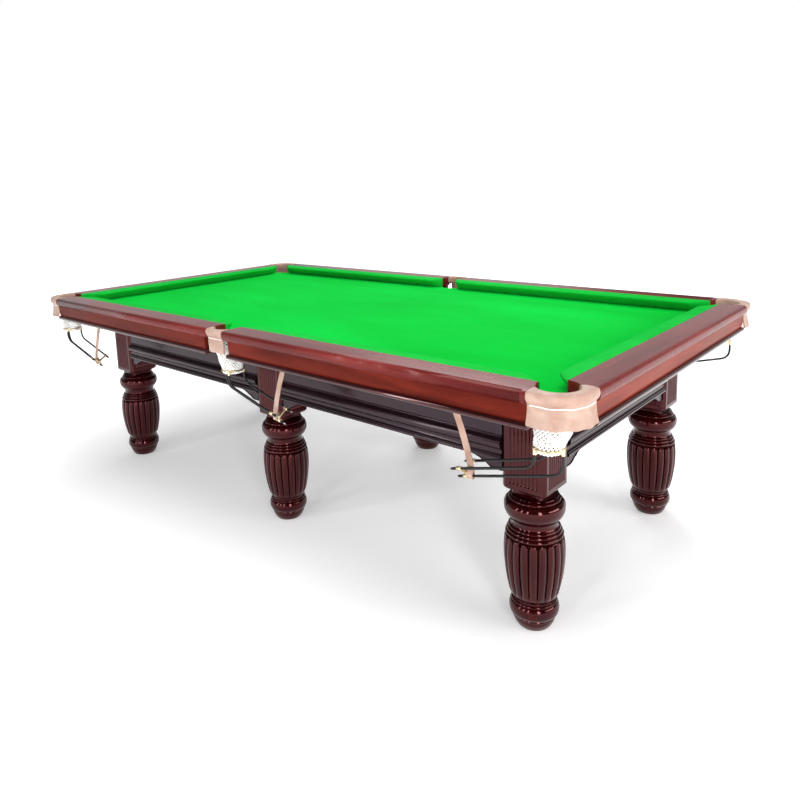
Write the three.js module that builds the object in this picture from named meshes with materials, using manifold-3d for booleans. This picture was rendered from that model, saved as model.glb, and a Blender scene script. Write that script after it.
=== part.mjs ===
// Full-size pool table with net pockets and outside ball runners.
// Millimetres, +Z up. The origin is on the floor under the middle of the table, +X along its length.

import * as THREE from 'three';
import { mergeVertices } from 'three/addons/utils/BufferGeometryUtils.js';
import Module from 'manifold-3d';

// ---------- driving dimensions ----------

const tableLength = 2850;
const tableWidth = 1580;
const tableHeight = 850;
const clearance = 0.3; // left between pieces that touch

const railWoodWidth = 95;
const railSkirtThickness = 31;
const cushionWidth = 60;
const cushionNoseHeight = 36; // above the cloth
const railDrop = 44; // rail top to cloth

const slateThickness = 30;
const slateUnderRail = 60; // how far the slate runs past the cushion nose
const slateJoint = 423; // from the middle of the table to each slate joint
const clothThickness = 1;

const pocketRadius = 56; // corner pocket opening
const pocketInset = 93; // table's outer faces to a corner pocket's centre
const leatherReach = 135; // how far a corner leather runs along each rail
const middlePocketRadius = 50;
const middlePocketInset = 68;
const middleLeatherHalf = 45;
const cornerFlare = 6; // how far a corner leather's flap stands out at its hem
const middleFlare = -4;
const flapDrop = 90; // rail top to the hem of a leather
const slatePocketMargin = 5; // slate cut past the pocket opening
const clothPocketMargin = 3;
const skirtHeight = 103; // rail top to the lower edge of the rail

const jawMouth = 75; // corner of the playing surface to the start of a corner jaw
const jawRadius = 35;
const jawAngle = 50;
const middleJawRadius = 65;
const middleJawThroat = 94;

const cornerLegInsetX = 280;
const legInsetY = 315;
const blockSide = 146;
const blockHeight = 318;
const blockChamfer = 12;
const neckSide = 106;
const neckTaper = 12; // height of the slope from the block in to the neck
const neckHeight = 14;
const plinthRadius = 60;
const footBulgeRadius = 76;
const ankleRadius = 64;
const barrelRadius = 93;
const waistRadius = 70;
const collarRadius = 92.5;
const legFacets = 12;

const footRadius = 40;
const footThickness = 10;
const footStemRadius = 9;
const footStemLength = 46;
const footPlay = 2; // round the foot in its socket, and half of this round its stem
const plinthBottom = 3;

const apronHeight = 241;
const apronThickness = 28;
const apronSetBack = 8; // behind the leg blocks' outer faces
const bracketLength = 118;
const bracketDrop = 34;
const bracketThickness = 18;
const bearerWidth = 62;
const bearerHeight = 92;

const netTopRadius = 47;
const middleNetTopRadius = 38;
const netBulge = 1.5;
const netBelowSlate = 7;
const netLength = 74;
const netWall = 3;
const ringRadius = 40;
const ringWire = 3.2;
const ringShiftAlong = 16; // the ring hangs this far towards the runner's open end
const runnerLineInset = 77; // table's outer face to a corner runner's middle line
const runnerLength = 285;
const runnerSlope = 15;
const runnerWire = 4; // radius, with its sleeve
const runnerDrop = 45; // ring down to where the side wires' line meets the ring's axis
const sideWireInset = 6; // inside the ring's radius
const wireBend = 34;
const troughDepth = 34; // side wires down to the trough wire
const hangerPlateThickness = 6;
const hangerPlatePast = 14; // beyond the strap
const strapWidth = 22;
const strapThickness = 3;
const strapBelowRail = 6;
const strapHangPoint = 240; // along the runner from the ring
const strapLean = 72; // how much further along the strap is nailed to the rail

// ---------- derived dimensions ----------

const halfLength = tableLength / 2;
const halfWidth = tableWidth / 2;
const railDepth = railWoodWidth + cushionWidth;
const clothTop = tableHeight - railDrop;
const slateTop = clothTop - clothThickness - clearance;
const slateBottom = slateTop - slateThickness;
const frameTop = slateBottom - clearance;
const railSeat = clothTop + clearance;
const railBottom = tableHeight - skirtHeight;
const noseX = halfLength - railDepth;
const noseY = halfWidth - railDepth;
const slateHalfLength = noseX + slateUnderRail;
const slateHalfWidth = noseY + slateUnderRail;
const pocketX = halfLength - pocketInset;
const pocketY = halfWidth - pocketInset;
const middlePocketY = halfWidth - middlePocketInset;
const legX = halfLength - cornerLegInsetX;
const legY = halfWidth - legInsetY;
const blockHalf = blockSide / 2;
const blockBottom = frameTop - blockHeight;
const apronBottom = frameTop - apronHeight;
const netTopHeight = slateBottom - netBelowSlate;
const netFootHeight = netTopHeight - netLength;
const ringHeight = netFootHeight - ringWire - 1;
const ringShiftOut = pocketInset - runnerLineInset;
const strapTopHeight = railSeat - strapBelowRail;
const slopeFall = Math.tan(THREE.MathUtils.degToRad(runnerSlope));

// ---------- solids ----------

const wasm = await Module();
wasm.setup();

function toSolid(geometry) {
  const bare = geometry.clone();
  bare.deleteAttribute('normal');
  bare.deleteAttribute('uv');
  const merged = mergeVertices(bare, 1e-4);
  const vertProperties = new Float32Array(merged.attributes.position.array);
  const triVerts = new Uint32Array(merged.index.array);
  return new wasm.Manifold(new wasm.Mesh({ numProp: 3, vertProperties, triVerts }));
}

function toGeometry(solid) {
  const mesh = solid.getMesh();
  const geometry = new THREE.BufferGeometry();
  geometry.setAttribute('position', new THREE.BufferAttribute(new Float32Array(mesh.vertProperties), 3));
  geometry.setIndex(new THREE.BufferAttribute(new Uint32Array(mesh.triVerts), 1));
  geometry.computeVertexNormals();
  return geometry;
}

function join(geometries) {
  return toGeometry(geometries.map(toSolid).reduce((whole, next) => whole.add(next)));
}

function cut(geometry, cutters) {
  return toGeometry(cutters.map(toSolid).reduce((whole, next) => whole.subtract(next), toSolid(geometry)));
}

function keep(geometry, region) {
  return toGeometry(toSolid(geometry).intersect(toSolid(region)));
}

// ---------- outlines ----------

function outline(points) {
  return new THREE.Shape(points.map(([x, y]) => new THREE.Vector2(x, y)));
}

// Plan outline pulled up from one height to another.
function prism(shape, low, high, curveSegments = 5) {
  const options = { depth: high - low, bevelEnabled: false, curveSegments };
  return new THREE.ExtrudeGeometry(shape, options).translate(0, 0, low);
}

// A section drawn as (distance in from the side, height), run along X on the -Y side.
function sideBar(shape, sideY, start, end) {
  const options = { depth: end - start, bevelEnabled: false, curveSegments: 4 };
  const geometry = new THREE.ExtrudeGeometry(shape, options);
  const across = new THREE.Vector3(0, 1, 0);
  const up = new THREE.Vector3(0, 0, 1);
  const along = new THREE.Vector3(1, 0, 0);
  geometry.applyMatrix4(new THREE.Matrix4().makeBasis(across, up, along));
  return geometry.translate(start, -sideY, 0);
}

function post(x, y, radius, low, high, facets = 24) {
  const geometry = new THREE.CylinderGeometry(radius, radius, high - low, facets);
  geometry.rotateX(Math.PI / 2);
  return geometry.translate(x, y, (low + high) / 2);
}

function pocketCutters(cornerRadius, middleRadius, low, high) {
  const cutters = [];
  for (const sx of [-1, 1]) {
    for (const sy of [-1, 1]) {
      cutters.push(post(sx * pocketX, sy * pocketY, cornerRadius, low, high));
    }
  }
  for (const sy of [-1, 1]) {
    cutters.push(post(0, sy * middlePocketY, middleRadius, low, high));
  }
  return cutters;
}

// ---------- rails and cushions ----------

// Rail: flat top, half-round edge, facia that leans in, and a bead along its foot.
function railSection() {
  const top = tableHeight;
  const beadOut = 6;
  const skirtBack = beadOut + railSkirtThickness;
  return outline([
    [railWoodWidth, top],
    [9, top],
    [3, top - 3],
    [0, top - 11],
    [0, top - 26],
    [3, top - 33],
    [9, top - 37],
    [15, railBottom + 18],
    [beadOut + 2, railBottom + 16],
    [beadOut, railBottom + 9],
    [beadOut + 2, railBottom + 2],
    [beadOut + 7, railBottom],
    [skirtBack, railBottom],
    [skirtBack, railSeat],
    [railWoodWidth, railSeat],
  ]);
}

function rail(sideY, start, end) {
  return sideBar(railSection(), sideY, start, end);
}

function cushionSection() {
  const top = tableHeight;
  const nose = clothTop + cushionNoseHeight;
  const back = railWoodWidth + clearance;
  const footWidth = 26;
  return outline([
    [back, railSeat],
    [back + footWidth, railSeat],
    [railDepth - 3, nose - 5],
    [railDepth, nose],
    [railDepth - 1.5, nose + 3],
    [railDepth - 8, nose + 5],
    [back + 12, top],
    [back, top],
  ]);
}

function mirrorX(shape) {
  const points = shape.getPoints(5).map((p) => new THREE.Vector2(-p.x, p.y));
  return new THREE.Shape(points.reverse());
}

// The end of a cushion at a corner pocket: an arc off the nose line, then a straight run to the rail.
function cornerJaw(shape, noseLine, jawStart, backLine) {
  const bend = THREE.MathUtils.degToRad(jawAngle);
  const centreY = noseLine - jawRadius;
  shape.absarc(jawStart, centreY, jawRadius, Math.PI / 2, bend, true);
  const endX = jawStart + jawRadius * Math.cos(bend);
  const endY = centreY + jawRadius * Math.sin(bend);
  const run = (endY - backLine) / Math.cos(bend);
  shape.lineTo(endX + run * Math.sin(bend), backLine);
}

function longCushionPlan() {
  const backLine = -(halfWidth - railWoodWidth) - 2;
  const middleX = middleJawThroat / 2 + middleJawRadius;
  const middleY = -noseY - middleJawRadius;
  const startAngle = Math.PI - Math.asin((backLine - middleY) / middleJawRadius);
  const shape = new THREE.Shape();
  shape.absarc(middleX, middleY, middleJawRadius, startAngle, Math.PI / 2, true);
  cornerJaw(shape, -noseY, noseX - jawMouth, backLine);
  shape.closePath();
  return shape;
}

function endCushionPlan() {
  const backLine = -(halfLength - railWoodWidth) - 2;
  const half = new THREE.Shape();
  cornerJaw(half, -noseX, noseY - jawMouth, backLine);
  const right = half.getPoints(5);
  const left = right.map((p) => new THREE.Vector2(-p.x, p.y)).reverse();
  return new THREE.Shape([...left, ...right]);
}

function cushion(plan, sideY, reach) {
  const bar = sideBar(cushionSection(), sideY, -reach, reach);
  return keep(bar, prism(plan, railSeat - 5, tableHeight + 5));
}

// ---------- slates and cloth ----------

function slate(start, end) {
  const slab = new THREE.BoxGeometry(end - start, 2 * slateHalfWidth, slateThickness);
  slab.translate((start + end) / 2, 0, (slateBottom + slateTop) / 2);
  const cutters = pocketCutters(
    pocketRadius + slatePocketMargin,
    middlePocketRadius + slatePocketMargin,
    slateBottom - 5,
    slateTop + 5,
  );
  return cut(slab, cutters);
}

function bedCloth() {
  const sheet = new THREE.BoxGeometry(2 * slateHalfLength, 2 * slateHalfWidth, clothThickness);
  sheet.translate(0, 0, clothTop - clothThickness / 2);
  const cutters = pocketCutters(
    pocketRadius + clothPocketMargin,
    middlePocketRadius + clothPocketMargin,
    slateTop - 5,
    clothTop + 5,
  );
  return cut(sheet, cutters);
}

// ---------- pocket leathers ----------

// Section of a pocket leather as (distance in from the rail's outer face, height): padded top, rolled
// edge, waist, and the flap that hangs over the net.
function leatherSection(inner, flare) {
  const top = tableHeight;
  const hem = top - flapDrop;
  const padBottom = top - 30;
  return [
    [inner, top - 3],
    [inner - 4, top - 1],
    [7, top],
    [1.5, top - 4],
    [0, top - 12],
    [2, top - 23],
    [9, padBottom - 1],
    [10, padBottom - 8],
    [9 - flare * 0.3, hem + 30],
    [8 - flare, hem + 2],
    [11 - flare, hem],
    [14 - flare, hem + 2],
    [15 - flare * 0.3, hem + 30],
    [16, padBottom - 8],
    [17, padBottom],
    [inner, padBottom],
  ];
}

// Corner leather round a pocket whose centre is at the origin, on the +X -Y corner.
function cornerLeather() {
  const inner = pocketInset - pocketRadius;
  const pastCentre = 26; // the straight arms' pads start wide and are cut by the pocket
  const section = leatherSection(inner, cornerFlare);
  const straight = leatherReach - pocketInset - clearance;
  const profile = section.map(([d, z]) => new THREE.Vector2(pocketInset - d, z)).reverse();
  profile.push(profile[0].clone());
  const ring = new THREE.LatheGeometry(profile, 32);
  ring.rotateX(Math.PI / 2);
  const quarter = new THREE.BoxGeometry(2 * pocketInset, 2 * pocketInset, tableHeight * 2);
  quarter.translate(pocketInset, -pocketInset, tableHeight);
  const wide = outline(leatherSection(inner + pastCentre, cornerFlare));
  const alongX = sideBar(wide, pocketInset, -straight, 0.01);
  const alongY = sideBar(wide, pocketInset, -0.01, straight);
  alongY.rotateZ(Math.PI / 2);
  const whole = join([keep(ring, quarter), alongX, alongY]);
  return cut(whole, [post(0, 0, pocketRadius, tableHeight - 60, tableHeight + 10, 32)]);
}

// Middle leather on the -Y side, with its pocket's centre at the origin.
function middleLeather() {
  const half = middleLeatherHalf - clearance;
  const pastCentre = 20; // the pad stops this far short of the pocket's centre line
  const section = outline(leatherSection(middlePocketInset - pastCentre, middleFlare));
  const bar = sideBar(section, middlePocketInset, -half, half);
  return cut(bar, [post(0, 0, middlePocketRadius, tableHeight - 45, tableHeight + 10, 32)]);
}

// ---------- nets, runners and straps ----------

// Tapered net from the pocket down to the ring, leaning so that its foot lies over the ring.
function net(topRadius, leanX, leanY) {
  const foot = ringRadius - 2;
  const middle = (topRadius + foot) / 2 + netBulge;
  const halfway = (netFootHeight + netTopHeight) / 2;
  const profile = [
    [foot - netWall, netFootHeight],
    [foot, netFootHeight],
    [middle, halfway],
    [topRadius, netTopHeight],
    [topRadius - netWall, netTopHeight],
    [middle - netWall, halfway],
    [foot - netWall, netFootHeight],
  ].map(([r, z]) => new THREE.Vector2(r, z));
  const geometry = new THREE.LatheGeometry(profile, 16);
  geometry.rotateX(Math.PI / 2);
  const position = geometry.attributes.position;
  for (let i = 0; i < position.count; i += 1) {
    const share = (netTopHeight - position.getZ(i)) / netLength;
    position.setX(i, position.getX(i) + share * leanX);
    position.setY(i, position.getY(i) + share * leanY);
  }
  return geometry;
}

// A wire that drops from the ring, bends and runs away along +X at the runner's slope.
function runnerWirePath(start, drop, reach) {
  const path = new THREE.CurvePath();
  const knee = new THREE.Vector3(start.x, start.y, drop);
  const below = new THREE.Vector3(start.x, start.y, drop + wireBend);
  const away = new THREE.Vector3(start.x + wireBend, start.y, drop - wireBend * slopeFall);
  const end = new THREE.Vector3(reach, start.y, drop - (reach - start.x) * slopeFall);
  path.add(new THREE.LineCurve3(start, below));
  path.add(new THREE.QuadraticBezierCurve3(below, knee, away));
  path.add(new THREE.LineCurve3(away, end));
  return path;
}

function runnerTube(path) {
  const facets = 5;
  const points = [];
  for (let i = 0; i < facets; i += 1) {
    const angle = (i / facets) * 2 * Math.PI;
    points.push([runnerWire * Math.cos(angle), runnerWire * Math.sin(angle)]);
  }
  return new THREE.ExtrudeGeometry(outline(points), { steps: 10, extrudePath: path });
}

// Height of the side wires' centre line at a distance along the runner.
function sideWireHeight(x) {
  return ringHeight - runnerDrop - x * slopeFall;
}

// V-shaped plate across the runner, round the three wires near their ends.
function hangerPlate(side) {
  const edge = 5;
  const x = strapHangPoint + hangerPlatePast;
  const level = sideWireHeight(x);
  const trough = level - troughDepth;
  const plate = outline([
    [-side - edge, level + edge],
    [-side - edge, level - edge],
    [-edge, trough - edge],
    [edge, trough - edge],
    [side + edge, level - edge],
    [side + edge, level + edge],
    [side - edge, level + edge],
    [0, trough + edge + 2],
    [-side + edge, level + edge],
  ]);
  return sideBar(plate, 0, x - hangerPlateThickness / 2, x + hangerPlateThickness / 2);
}

// Brass ring, two side wires, one trough wire and the hanger plate that ties their ends. The ring's
// centre is on the Z axis, and the runner leads away along +X.
function runner() {
  const side = ringRadius - sideWireInset;
  const ring = new THREE.TorusGeometry(ringRadius, ringWire, 5, 16);
  ring.translate(0, 0, ringHeight);
  const pieces = [ring];
  for (const y of [-side, side]) {
    const start = new THREE.Vector3(Math.sqrt(ringRadius ** 2 - side ** 2), y, ringHeight);
    pieces.push(runnerTube(runnerWirePath(start, sideWireHeight(start.x), runnerLength)));
  }
  const back = new THREE.Vector3(-ringRadius, 0, ringHeight);
  const troughHeight = sideWireHeight(-ringRadius) - troughDepth;
  pieces.push(runnerTube(runnerWirePath(back, troughHeight, runnerLength)));
  pieces.push(hangerPlate(side));
  return join(pieces);
}

// Leather strap nailed under the rail, down to the trough wire. Same frame as the runner.
function strap() {
  const half = strapWidth / 2;
  const foot = strapHangPoint;
  const overWire = half * slopeFall + 2;
  const low = sideWireHeight(foot) - troughDepth + runnerWire + overWire;
  const shape = outline([
    [foot - half, low],
    [foot + half, low],
    [foot + strapLean + half, strapTopHeight],
    [foot + strapLean - half, strapTopHeight],
  ]);
  const geometry = new THREE.ExtrudeGeometry(shape, { depth: strapThickness, bevelEnabled: false });
  geometry.rotateX(Math.PI / 2);
  return geometry.translate(0, strapThickness / 2, 0);
}

// ---------- legs, feet and frame ----------

// Turned part of a leg as (radius, height): plinth, foot bulge, barrel, waist and collar. Its foot is
// set out from the floor and its head down from the block, so the barrel takes up a change of height.
function legTurning() {
  const socketTop = footThickness + clearance;
  const socketRadius = footRadius + footPlay;
  const boreRadius = footStemRadius + footPlay / 2;
  const boreTop = footThickness + footStemLength + footPlay;
  const head = blockBottom;
  const profile = [
    [0, boreTop],
    [boreRadius, boreTop],
    [boreRadius, socketTop],
    [socketRadius, socketTop],
    [socketRadius, plinthBottom],
    [plinthRadius - 9, plinthBottom],
    [plinthRadius + 4, 28],
    [plinthRadius + 2, 34],
    [footBulgeRadius - 8, 43],
    [footBulgeRadius, 60],
    [footBulgeRadius - 6, 78],
    [ankleRadius, 95],
    [ankleRadius + 10, 115],
    [barrelRadius - 9, 155],
    [barrelRadius - 2, head - 251],
    [barrelRadius, head - 215],
    [barrelRadius - 3, head - 186],
    [waistRadius + 19, head - 160],
    [waistRadius + 14, head - 144],
    [waistRadius, head - 120],
    [waistRadius + 1, head - 111],
    [collarRadius - 11, head - 100],
    [collarRadius - 4, head - 88],
    [collarRadius, head - 72],
    [collarRadius - 2, head - 54],
    [collarRadius - 9, head - 44],
    [neckSide / 2 + 13, head - 34],
    [neckSide / 2 + 3, head - 20],
    [neckSide / 2 - 3, head - 10],
    [0, head - 10],
  ];
  const geometry = new THREE.LatheGeometry(profile.map(([r, z]) => new THREE.Vector2(r, z)), legFacets);
  return geometry.rotateX(Math.PI / 2);
}

function legBlock() {
  const h = blockHalf;
  const c = blockChamfer;
  const shape = outline([
    [-h + c, -h], [h - c, -h], [h, -h + c], [h, h - c],
    [h - c, h], [-h + c, h], [-h, h - c], [-h, -h + c],
  ]);
  return prism(shape, blockBottom, frameTop);
}

// Square neck under the block, and the slope between them.
function legNeck() {
  const bite = 0.04; // how far each solid runs into the one above
  const blockCorner = blockHalf * Math.SQRT2 - blockChamfer;
  const slope = new THREE.CylinderGeometry(blockCorner, neckSide / Math.SQRT2, neckTaper, 4);
  slope.rotateX(Math.PI / 2);
  slope.rotateZ(Math.PI / 4);
  slope.translate(0, 0, blockBottom - neckTaper / 2 + bite);
  const neck = new THREE.BoxGeometry(neckSide, neckSide, neckHeight);
  neck.translate(0, 0, blockBottom - neckTaper - neckHeight / 2 + 2 * bite);
  return [slope, neck];
}

function leg() {
  return join([legTurning(), ...legNeck(), legBlock()]);
}

function levellingFoot() {
  const profile = [
    [0, 0],
    [footRadius - 2, 0],
    [footRadius, 2],
    [footRadius, footThickness],
    [footStemRadius, footThickness],
    [footStemRadius, footThickness + footStemLength],
    [0, footThickness + footStemLength],
  ].map(([r, z]) => new THREE.Vector2(r, z));
  return new THREE.LatheGeometry(profile, 16).rotateX(Math.PI / 2);
}

// Moulded apron section as (distance in from the leg blocks' outer faces, height).
function apronSection() {
  const face = apronSetBack;
  const low = apronBottom;
  return outline([
    [face, frameTop],
    [face, low + 70],
    [face - 3, low + 66],
    [face - 9, low + 64],
    [face - 14, low + 58],
    [face - 15, low + 50],
    [face - 13, low + 42],
    [face - 7, low + 37],
    [face - 3, low + 30],
    [face - 3, low + 18],
    [face - 8, low + 12],
    [face - 8, low + 3],
    [face - 5, low],
    [face + apronThickness, low],
    [face + apronThickness, frameTop],
  ]);
}

// Ogee bracket under an apron, from a leg block outwards along +X.
function bracket(sideY, start, direction) {
  const shape = new THREE.Shape();
  const low = apronBottom - bracketDrop;
  const lap = 2; // how far the bracket runs up into the apron
  shape.moveTo(0, apronBottom + lap);
  shape.lineTo(0, low);
  shape.lineTo(bracketLength * 0.3, low);
  shape.quadraticCurveTo(bracketLength * 0.52, low, bracketLength * 0.56, low + bracketDrop * 0.5);
  shape.quadraticCurveTo(bracketLength * 0.7, apronBottom, bracketLength, apronBottom);
  shape.lineTo(bracketLength, apronBottom + lap);
  const options = { depth: bracketThickness, bevelEnabled: false, curveSegments: 4 };
  const geometry = new THREE.ExtrudeGeometry(shape, options);
  geometry.rotateX(Math.PI / 2);
  if (direction < 0) {
    geometry.rotateZ(Math.PI);
    geometry.translate(0, -bracketThickness, 0);
  }
  return geometry.translate(start, -sideY + apronSetBack + bracketThickness, 0);
}

function apron(sideY, start, end) {
  const from = start + clearance;
  const to = end - clearance;
  return join([
    sideBar(apronSection(), sideY, from, to),
    bracket(sideY, from, 1),
    bracket(sideY, to, -1),
  ]);
}

function crossBearer() {
  const inner = legY + blockHalf - apronSetBack - apronThickness - clearance;
  const geometry = new THREE.BoxGeometry(bearerWidth, 2 * inner, bearerHeight);
  return geometry.translate(0, 0, frameTop - bearerHeight / 2);
}

// ---------- materials ----------

function finish(color, roughness, metalness = 0) {
  return () => new THREE.MeshStandardMaterial({ color, roughness, metalness });
}

const cherryWood = finish(0x3a0f12, 0.22);
const apronWood = finish(0x241216, 0.25);
const railWood = finish(0x7a2c26, 0.3);
const bearerWood = finish(0xb08a5a, 0.7);
const slateStone = finish(0x5b5f63, 0.8);
const greenCloth = finish(0x08b93c, 0.9);
const tanLeather = finish(0xe0b99d, 0.65);
const whiteCord = finish(0xf1efe8, 0.85);
const blackSleeve = finish(0x151416, 0.4, 0.2);
const footSteel = finish(0x6e6f72, 0.45, 0.9);

// ---------- assembly ----------

const table = new THREE.Group();

function addPart(name, geometry, material, parent = table) {
  const mesh = new THREE.Mesh(geometry, material());
  mesh.name = name;
  parent.add(mesh);
  return mesh;
}

// A group for one side of the table: the front faces -Y, and the back is the front turned half round.
function sideGroup(turn) {
  const group = new THREE.Group();
  group.rotation.z = turn;
  table.add(group);
  return group;
}

const front = sideGroup(0);
const back = sideGroup(Math.PI);
const sides = [
  { side: front, right: 'front_right', left: 'front_left', middle: 'front_middle', end: 'right' },
  { side: back, right: 'back_left', left: 'back_right', middle: 'back_middle', end: 'left' },
];

const railFrom = middleLeatherHalf;
const railTo = halfLength - leatherReach;
const endRailReach = halfWidth - leatherReach;
const woodCutters = pocketCutters(
  pocketRadius + clearance,
  middlePocketRadius + clearance,
  railSeat - 5,
  tableHeight + 5,
);
for (const { side, right, left, middle, end } of sides) {
  addPart(`rail_${right}`, cut(rail(halfWidth, railFrom, railTo), woodCutters), railWood, side);
  addPart(`rail_${left}`, cut(rail(halfWidth, -railTo, -railFrom), woodCutters), railWood, side);
  const endRail = rail(halfLength, -endRailReach, endRailReach).rotateZ(Math.PI / 2);
  addPart(`rail_end_${end}`, cut(endRail, woodCutters), railWood, side);

  const longPlan = longCushionPlan();
  const longReach = halfLength - railWoodWidth;
  const rightCushion = cushion(longPlan, halfWidth, longReach);
  addPart(`cushion_${right}`, cut(rightCushion, woodCutters), greenCloth, side);
  const leftCushion = cushion(mirrorX(longPlan), halfWidth, longReach);
  addPart(`cushion_${left}`, cut(leftCushion, woodCutters), greenCloth, side);
  const endCushion = cushion(endCushionPlan(), halfLength, halfWidth).rotateZ(Math.PI / 2);
  addPart(`cushion_end_${end}`, cut(endCushion, woodCutters), greenCloth, side);

  const legPlaces = [
    [right, legX],
    [middle, 0],
    [left, -legX],
  ];
  for (const [place, x] of legPlaces) {
    addPart(`leg_${place}`, leg(), cherryWood, side).position.set(x, -legY, 0);
    addPart(`levelling_foot_${place}`, levellingFoot(), footSteel, side).position.set(x, -legY, 0);
  }

  const outer = legY + blockHalf;
  addPart(`apron_${right}`, apron(outer, blockHalf, legX - blockHalf), apronWood, side);
  addPart(`apron_${left}`, apron(outer, -legX + blockHalf, -blockHalf), apronWood, side);
  const endApron = apron(legX + blockHalf, -legY + blockHalf, legY - blockHalf).rotateZ(Math.PI / 2);
  addPart(`apron_end_${end}`, endApron, apronWood, side);

  const rightCorner = addPart(`pocket_leather_${right}`, cornerLeather(), tanLeather, side);
  rightCorner.position.set(pocketX, -pocketY, 0);
  const leftCorner = addPart(`pocket_leather_${left}`, cornerLeather(), tanLeather, side);
  leftCorner.position.set(-pocketX, -pocketY, 0);
  leftCorner.rotation.z = -Math.PI / 2;
  addPart(`pocket_leather_${middle}`, middleLeather(), tanLeather, side).position.set(0, -middlePocketY, 0);

  // The right-hand corner's runner leads left along the side; the other two lead right.
  const runnerPlaces = [
    { place: right, x: pocketX, y: -pocketY, top: netTopRadius, shiftOut: ringShiftOut, direction: -1 },
    { place: middle, x: 0, y: -middlePocketY, top: middleNetTopRadius, shiftOut: 0, direction: 1 },
    { place: left, x: -pocketX, y: -pocketY, top: netTopRadius, shiftOut: ringShiftOut, direction: 1 },
  ];
  for (const { place, x, y, top, shiftOut, direction } of runnerPlaces) {
    const turn = direction > 0 ? 0 : Math.PI;
    const lean = net(top, direction * ringShiftAlong, -shiftOut);
    addPart(`net_${place}`, lean, whiteCord, side).position.set(x, y, 0);
    const hanging = new THREE.Group();
    hanging.position.set(x + direction * ringShiftAlong, y - shiftOut, 0);
    hanging.rotation.z = turn;
    side.add(hanging);
    addPart(`ball_runner_${place}`, runner(), blackSleeve, hanging);
    addPart(`runner_strap_${place}`, strap(), tanLeather, hanging);
  }
}

addPart('slate_left', slate(-slateHalfLength, -slateJoint - clearance / 2), slateStone);
addPart('slate_middle', slate(-slateJoint + clearance / 2, slateJoint - clearance / 2), slateStone);
addPart('slate_right', slate(slateJoint + clearance / 2, slateHalfLength), slateStone);
addPart('bed_cloth', bedCloth(), greenCloth);
addPart('cross_bearer_left', crossBearer(), bearerWood).position.x = -slateJoint;
addPart('cross_bearer_right', crossBearer(), bearerWood).position.x = slateJoint;

export default table;
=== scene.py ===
import math

import bmesh
import bpy
from mathutils import Matrix, Vector


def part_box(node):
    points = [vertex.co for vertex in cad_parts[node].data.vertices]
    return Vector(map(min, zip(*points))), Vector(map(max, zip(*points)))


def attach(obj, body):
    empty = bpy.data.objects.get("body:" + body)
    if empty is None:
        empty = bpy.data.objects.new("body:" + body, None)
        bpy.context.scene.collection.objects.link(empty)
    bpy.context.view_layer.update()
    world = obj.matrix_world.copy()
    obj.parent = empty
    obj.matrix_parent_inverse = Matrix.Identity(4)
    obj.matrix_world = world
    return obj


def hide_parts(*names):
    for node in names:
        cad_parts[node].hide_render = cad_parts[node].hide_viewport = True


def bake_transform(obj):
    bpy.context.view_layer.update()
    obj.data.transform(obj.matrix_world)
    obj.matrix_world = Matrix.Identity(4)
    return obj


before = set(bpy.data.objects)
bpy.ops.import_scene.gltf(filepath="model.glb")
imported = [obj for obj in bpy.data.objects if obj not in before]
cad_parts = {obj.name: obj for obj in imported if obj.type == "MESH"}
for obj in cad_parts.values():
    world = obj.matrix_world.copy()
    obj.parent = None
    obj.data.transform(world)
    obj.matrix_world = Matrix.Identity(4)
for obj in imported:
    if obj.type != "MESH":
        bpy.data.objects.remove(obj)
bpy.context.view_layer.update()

# ---------------------------------------------------------------------------------------------
# Room: a plain pale floor under soft studio light, with long softboxes that draw streaks down the
# lacquer. The camera stands off the near right-hand corner, a little above the table.

camera_data = bpy.data.cameras.new("camera")
camera_data.lens = 31.4
camera_data.sensor_width = 36
camera_data.shift_x = 0.030
camera_data.shift_y = -0.129
camera_data.clip_start = 0.05
camera = bpy.data.objects.new("camera", camera_data)
bpy.context.collection.objects.link(camera)
bpy.context.scene.camera = camera

swing = math.radians(41.97)
rise = math.radians(9.51)
roll = math.radians(-1.91)
backwards = Vector((math.sin(swing) * math.cos(rise), -math.cos(swing) * math.cos(rise), math.sin(rise)))
level = backwards.cross(Vector((0, 0, -1))).normalized()
upright = level.cross(-backwards)
sideways = level * math.cos(roll) + upright * math.sin(roll)
upwards = upright * math.cos(roll) - level * math.sin(roll)
camera.matrix_world = Matrix.LocRotScale(
    Vector((2.124, -2.248, 1.372)),
    Matrix((sideways, upwards, backwards)).transposed(),
    None,
)

bpy.context.scene.view_settings.view_transform = "Standard"


def softbox(name, at, towards, width, height, power, colour=(1, 1, 1)):
    """A rectangular studio light that faces a point."""
    lamp = bpy.data.lights.new(name, "AREA")
    lamp.shape = "RECTANGLE"
    lamp.size = width
    lamp.size_y = height
    lamp.energy = power
    lamp.color = colour
    obj = bpy.data.objects.new(name, lamp)
    obj.location = at
    obj.rotation_mode = "QUATERNION"
    obj.rotation_quaternion = (Vector(towards) - Vector(at)).to_track_quat("-Z", "Y")
    obj.visible_camera = False
    bpy.context.collection.objects.link(obj)


softbox("overhead", (0.3, 0.2, 4.6), (0, 0, 0), 5.0, 4.0, 200)
softbox("right_window", (5.2, 0.7, 1.9), (0.9, -0.1, 0.5), 3.6, 1.2, 135, (1.0, 0.97, 0.94))
for bearing, width in ((-36, 0.2), (-14, 0.2), (8, 0.27), (52, 0.6)):
    spot = (0.9 + 3.7 * math.sin(math.radians(bearing)), -0.5 - 3.7 * math.cos(math.radians(bearing)), 1.4)
    softbox(f"window_{bearing % 360}", spot, (0.9, -0.5, 0.9), width, 2.6, 150 * width, (0.97, 0.98, 1.0))
softbox("rear_window", (-2.4, 4.2, 4.4), (0, 0.4, 0.5), 2.4, 1.4, 90)

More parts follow.
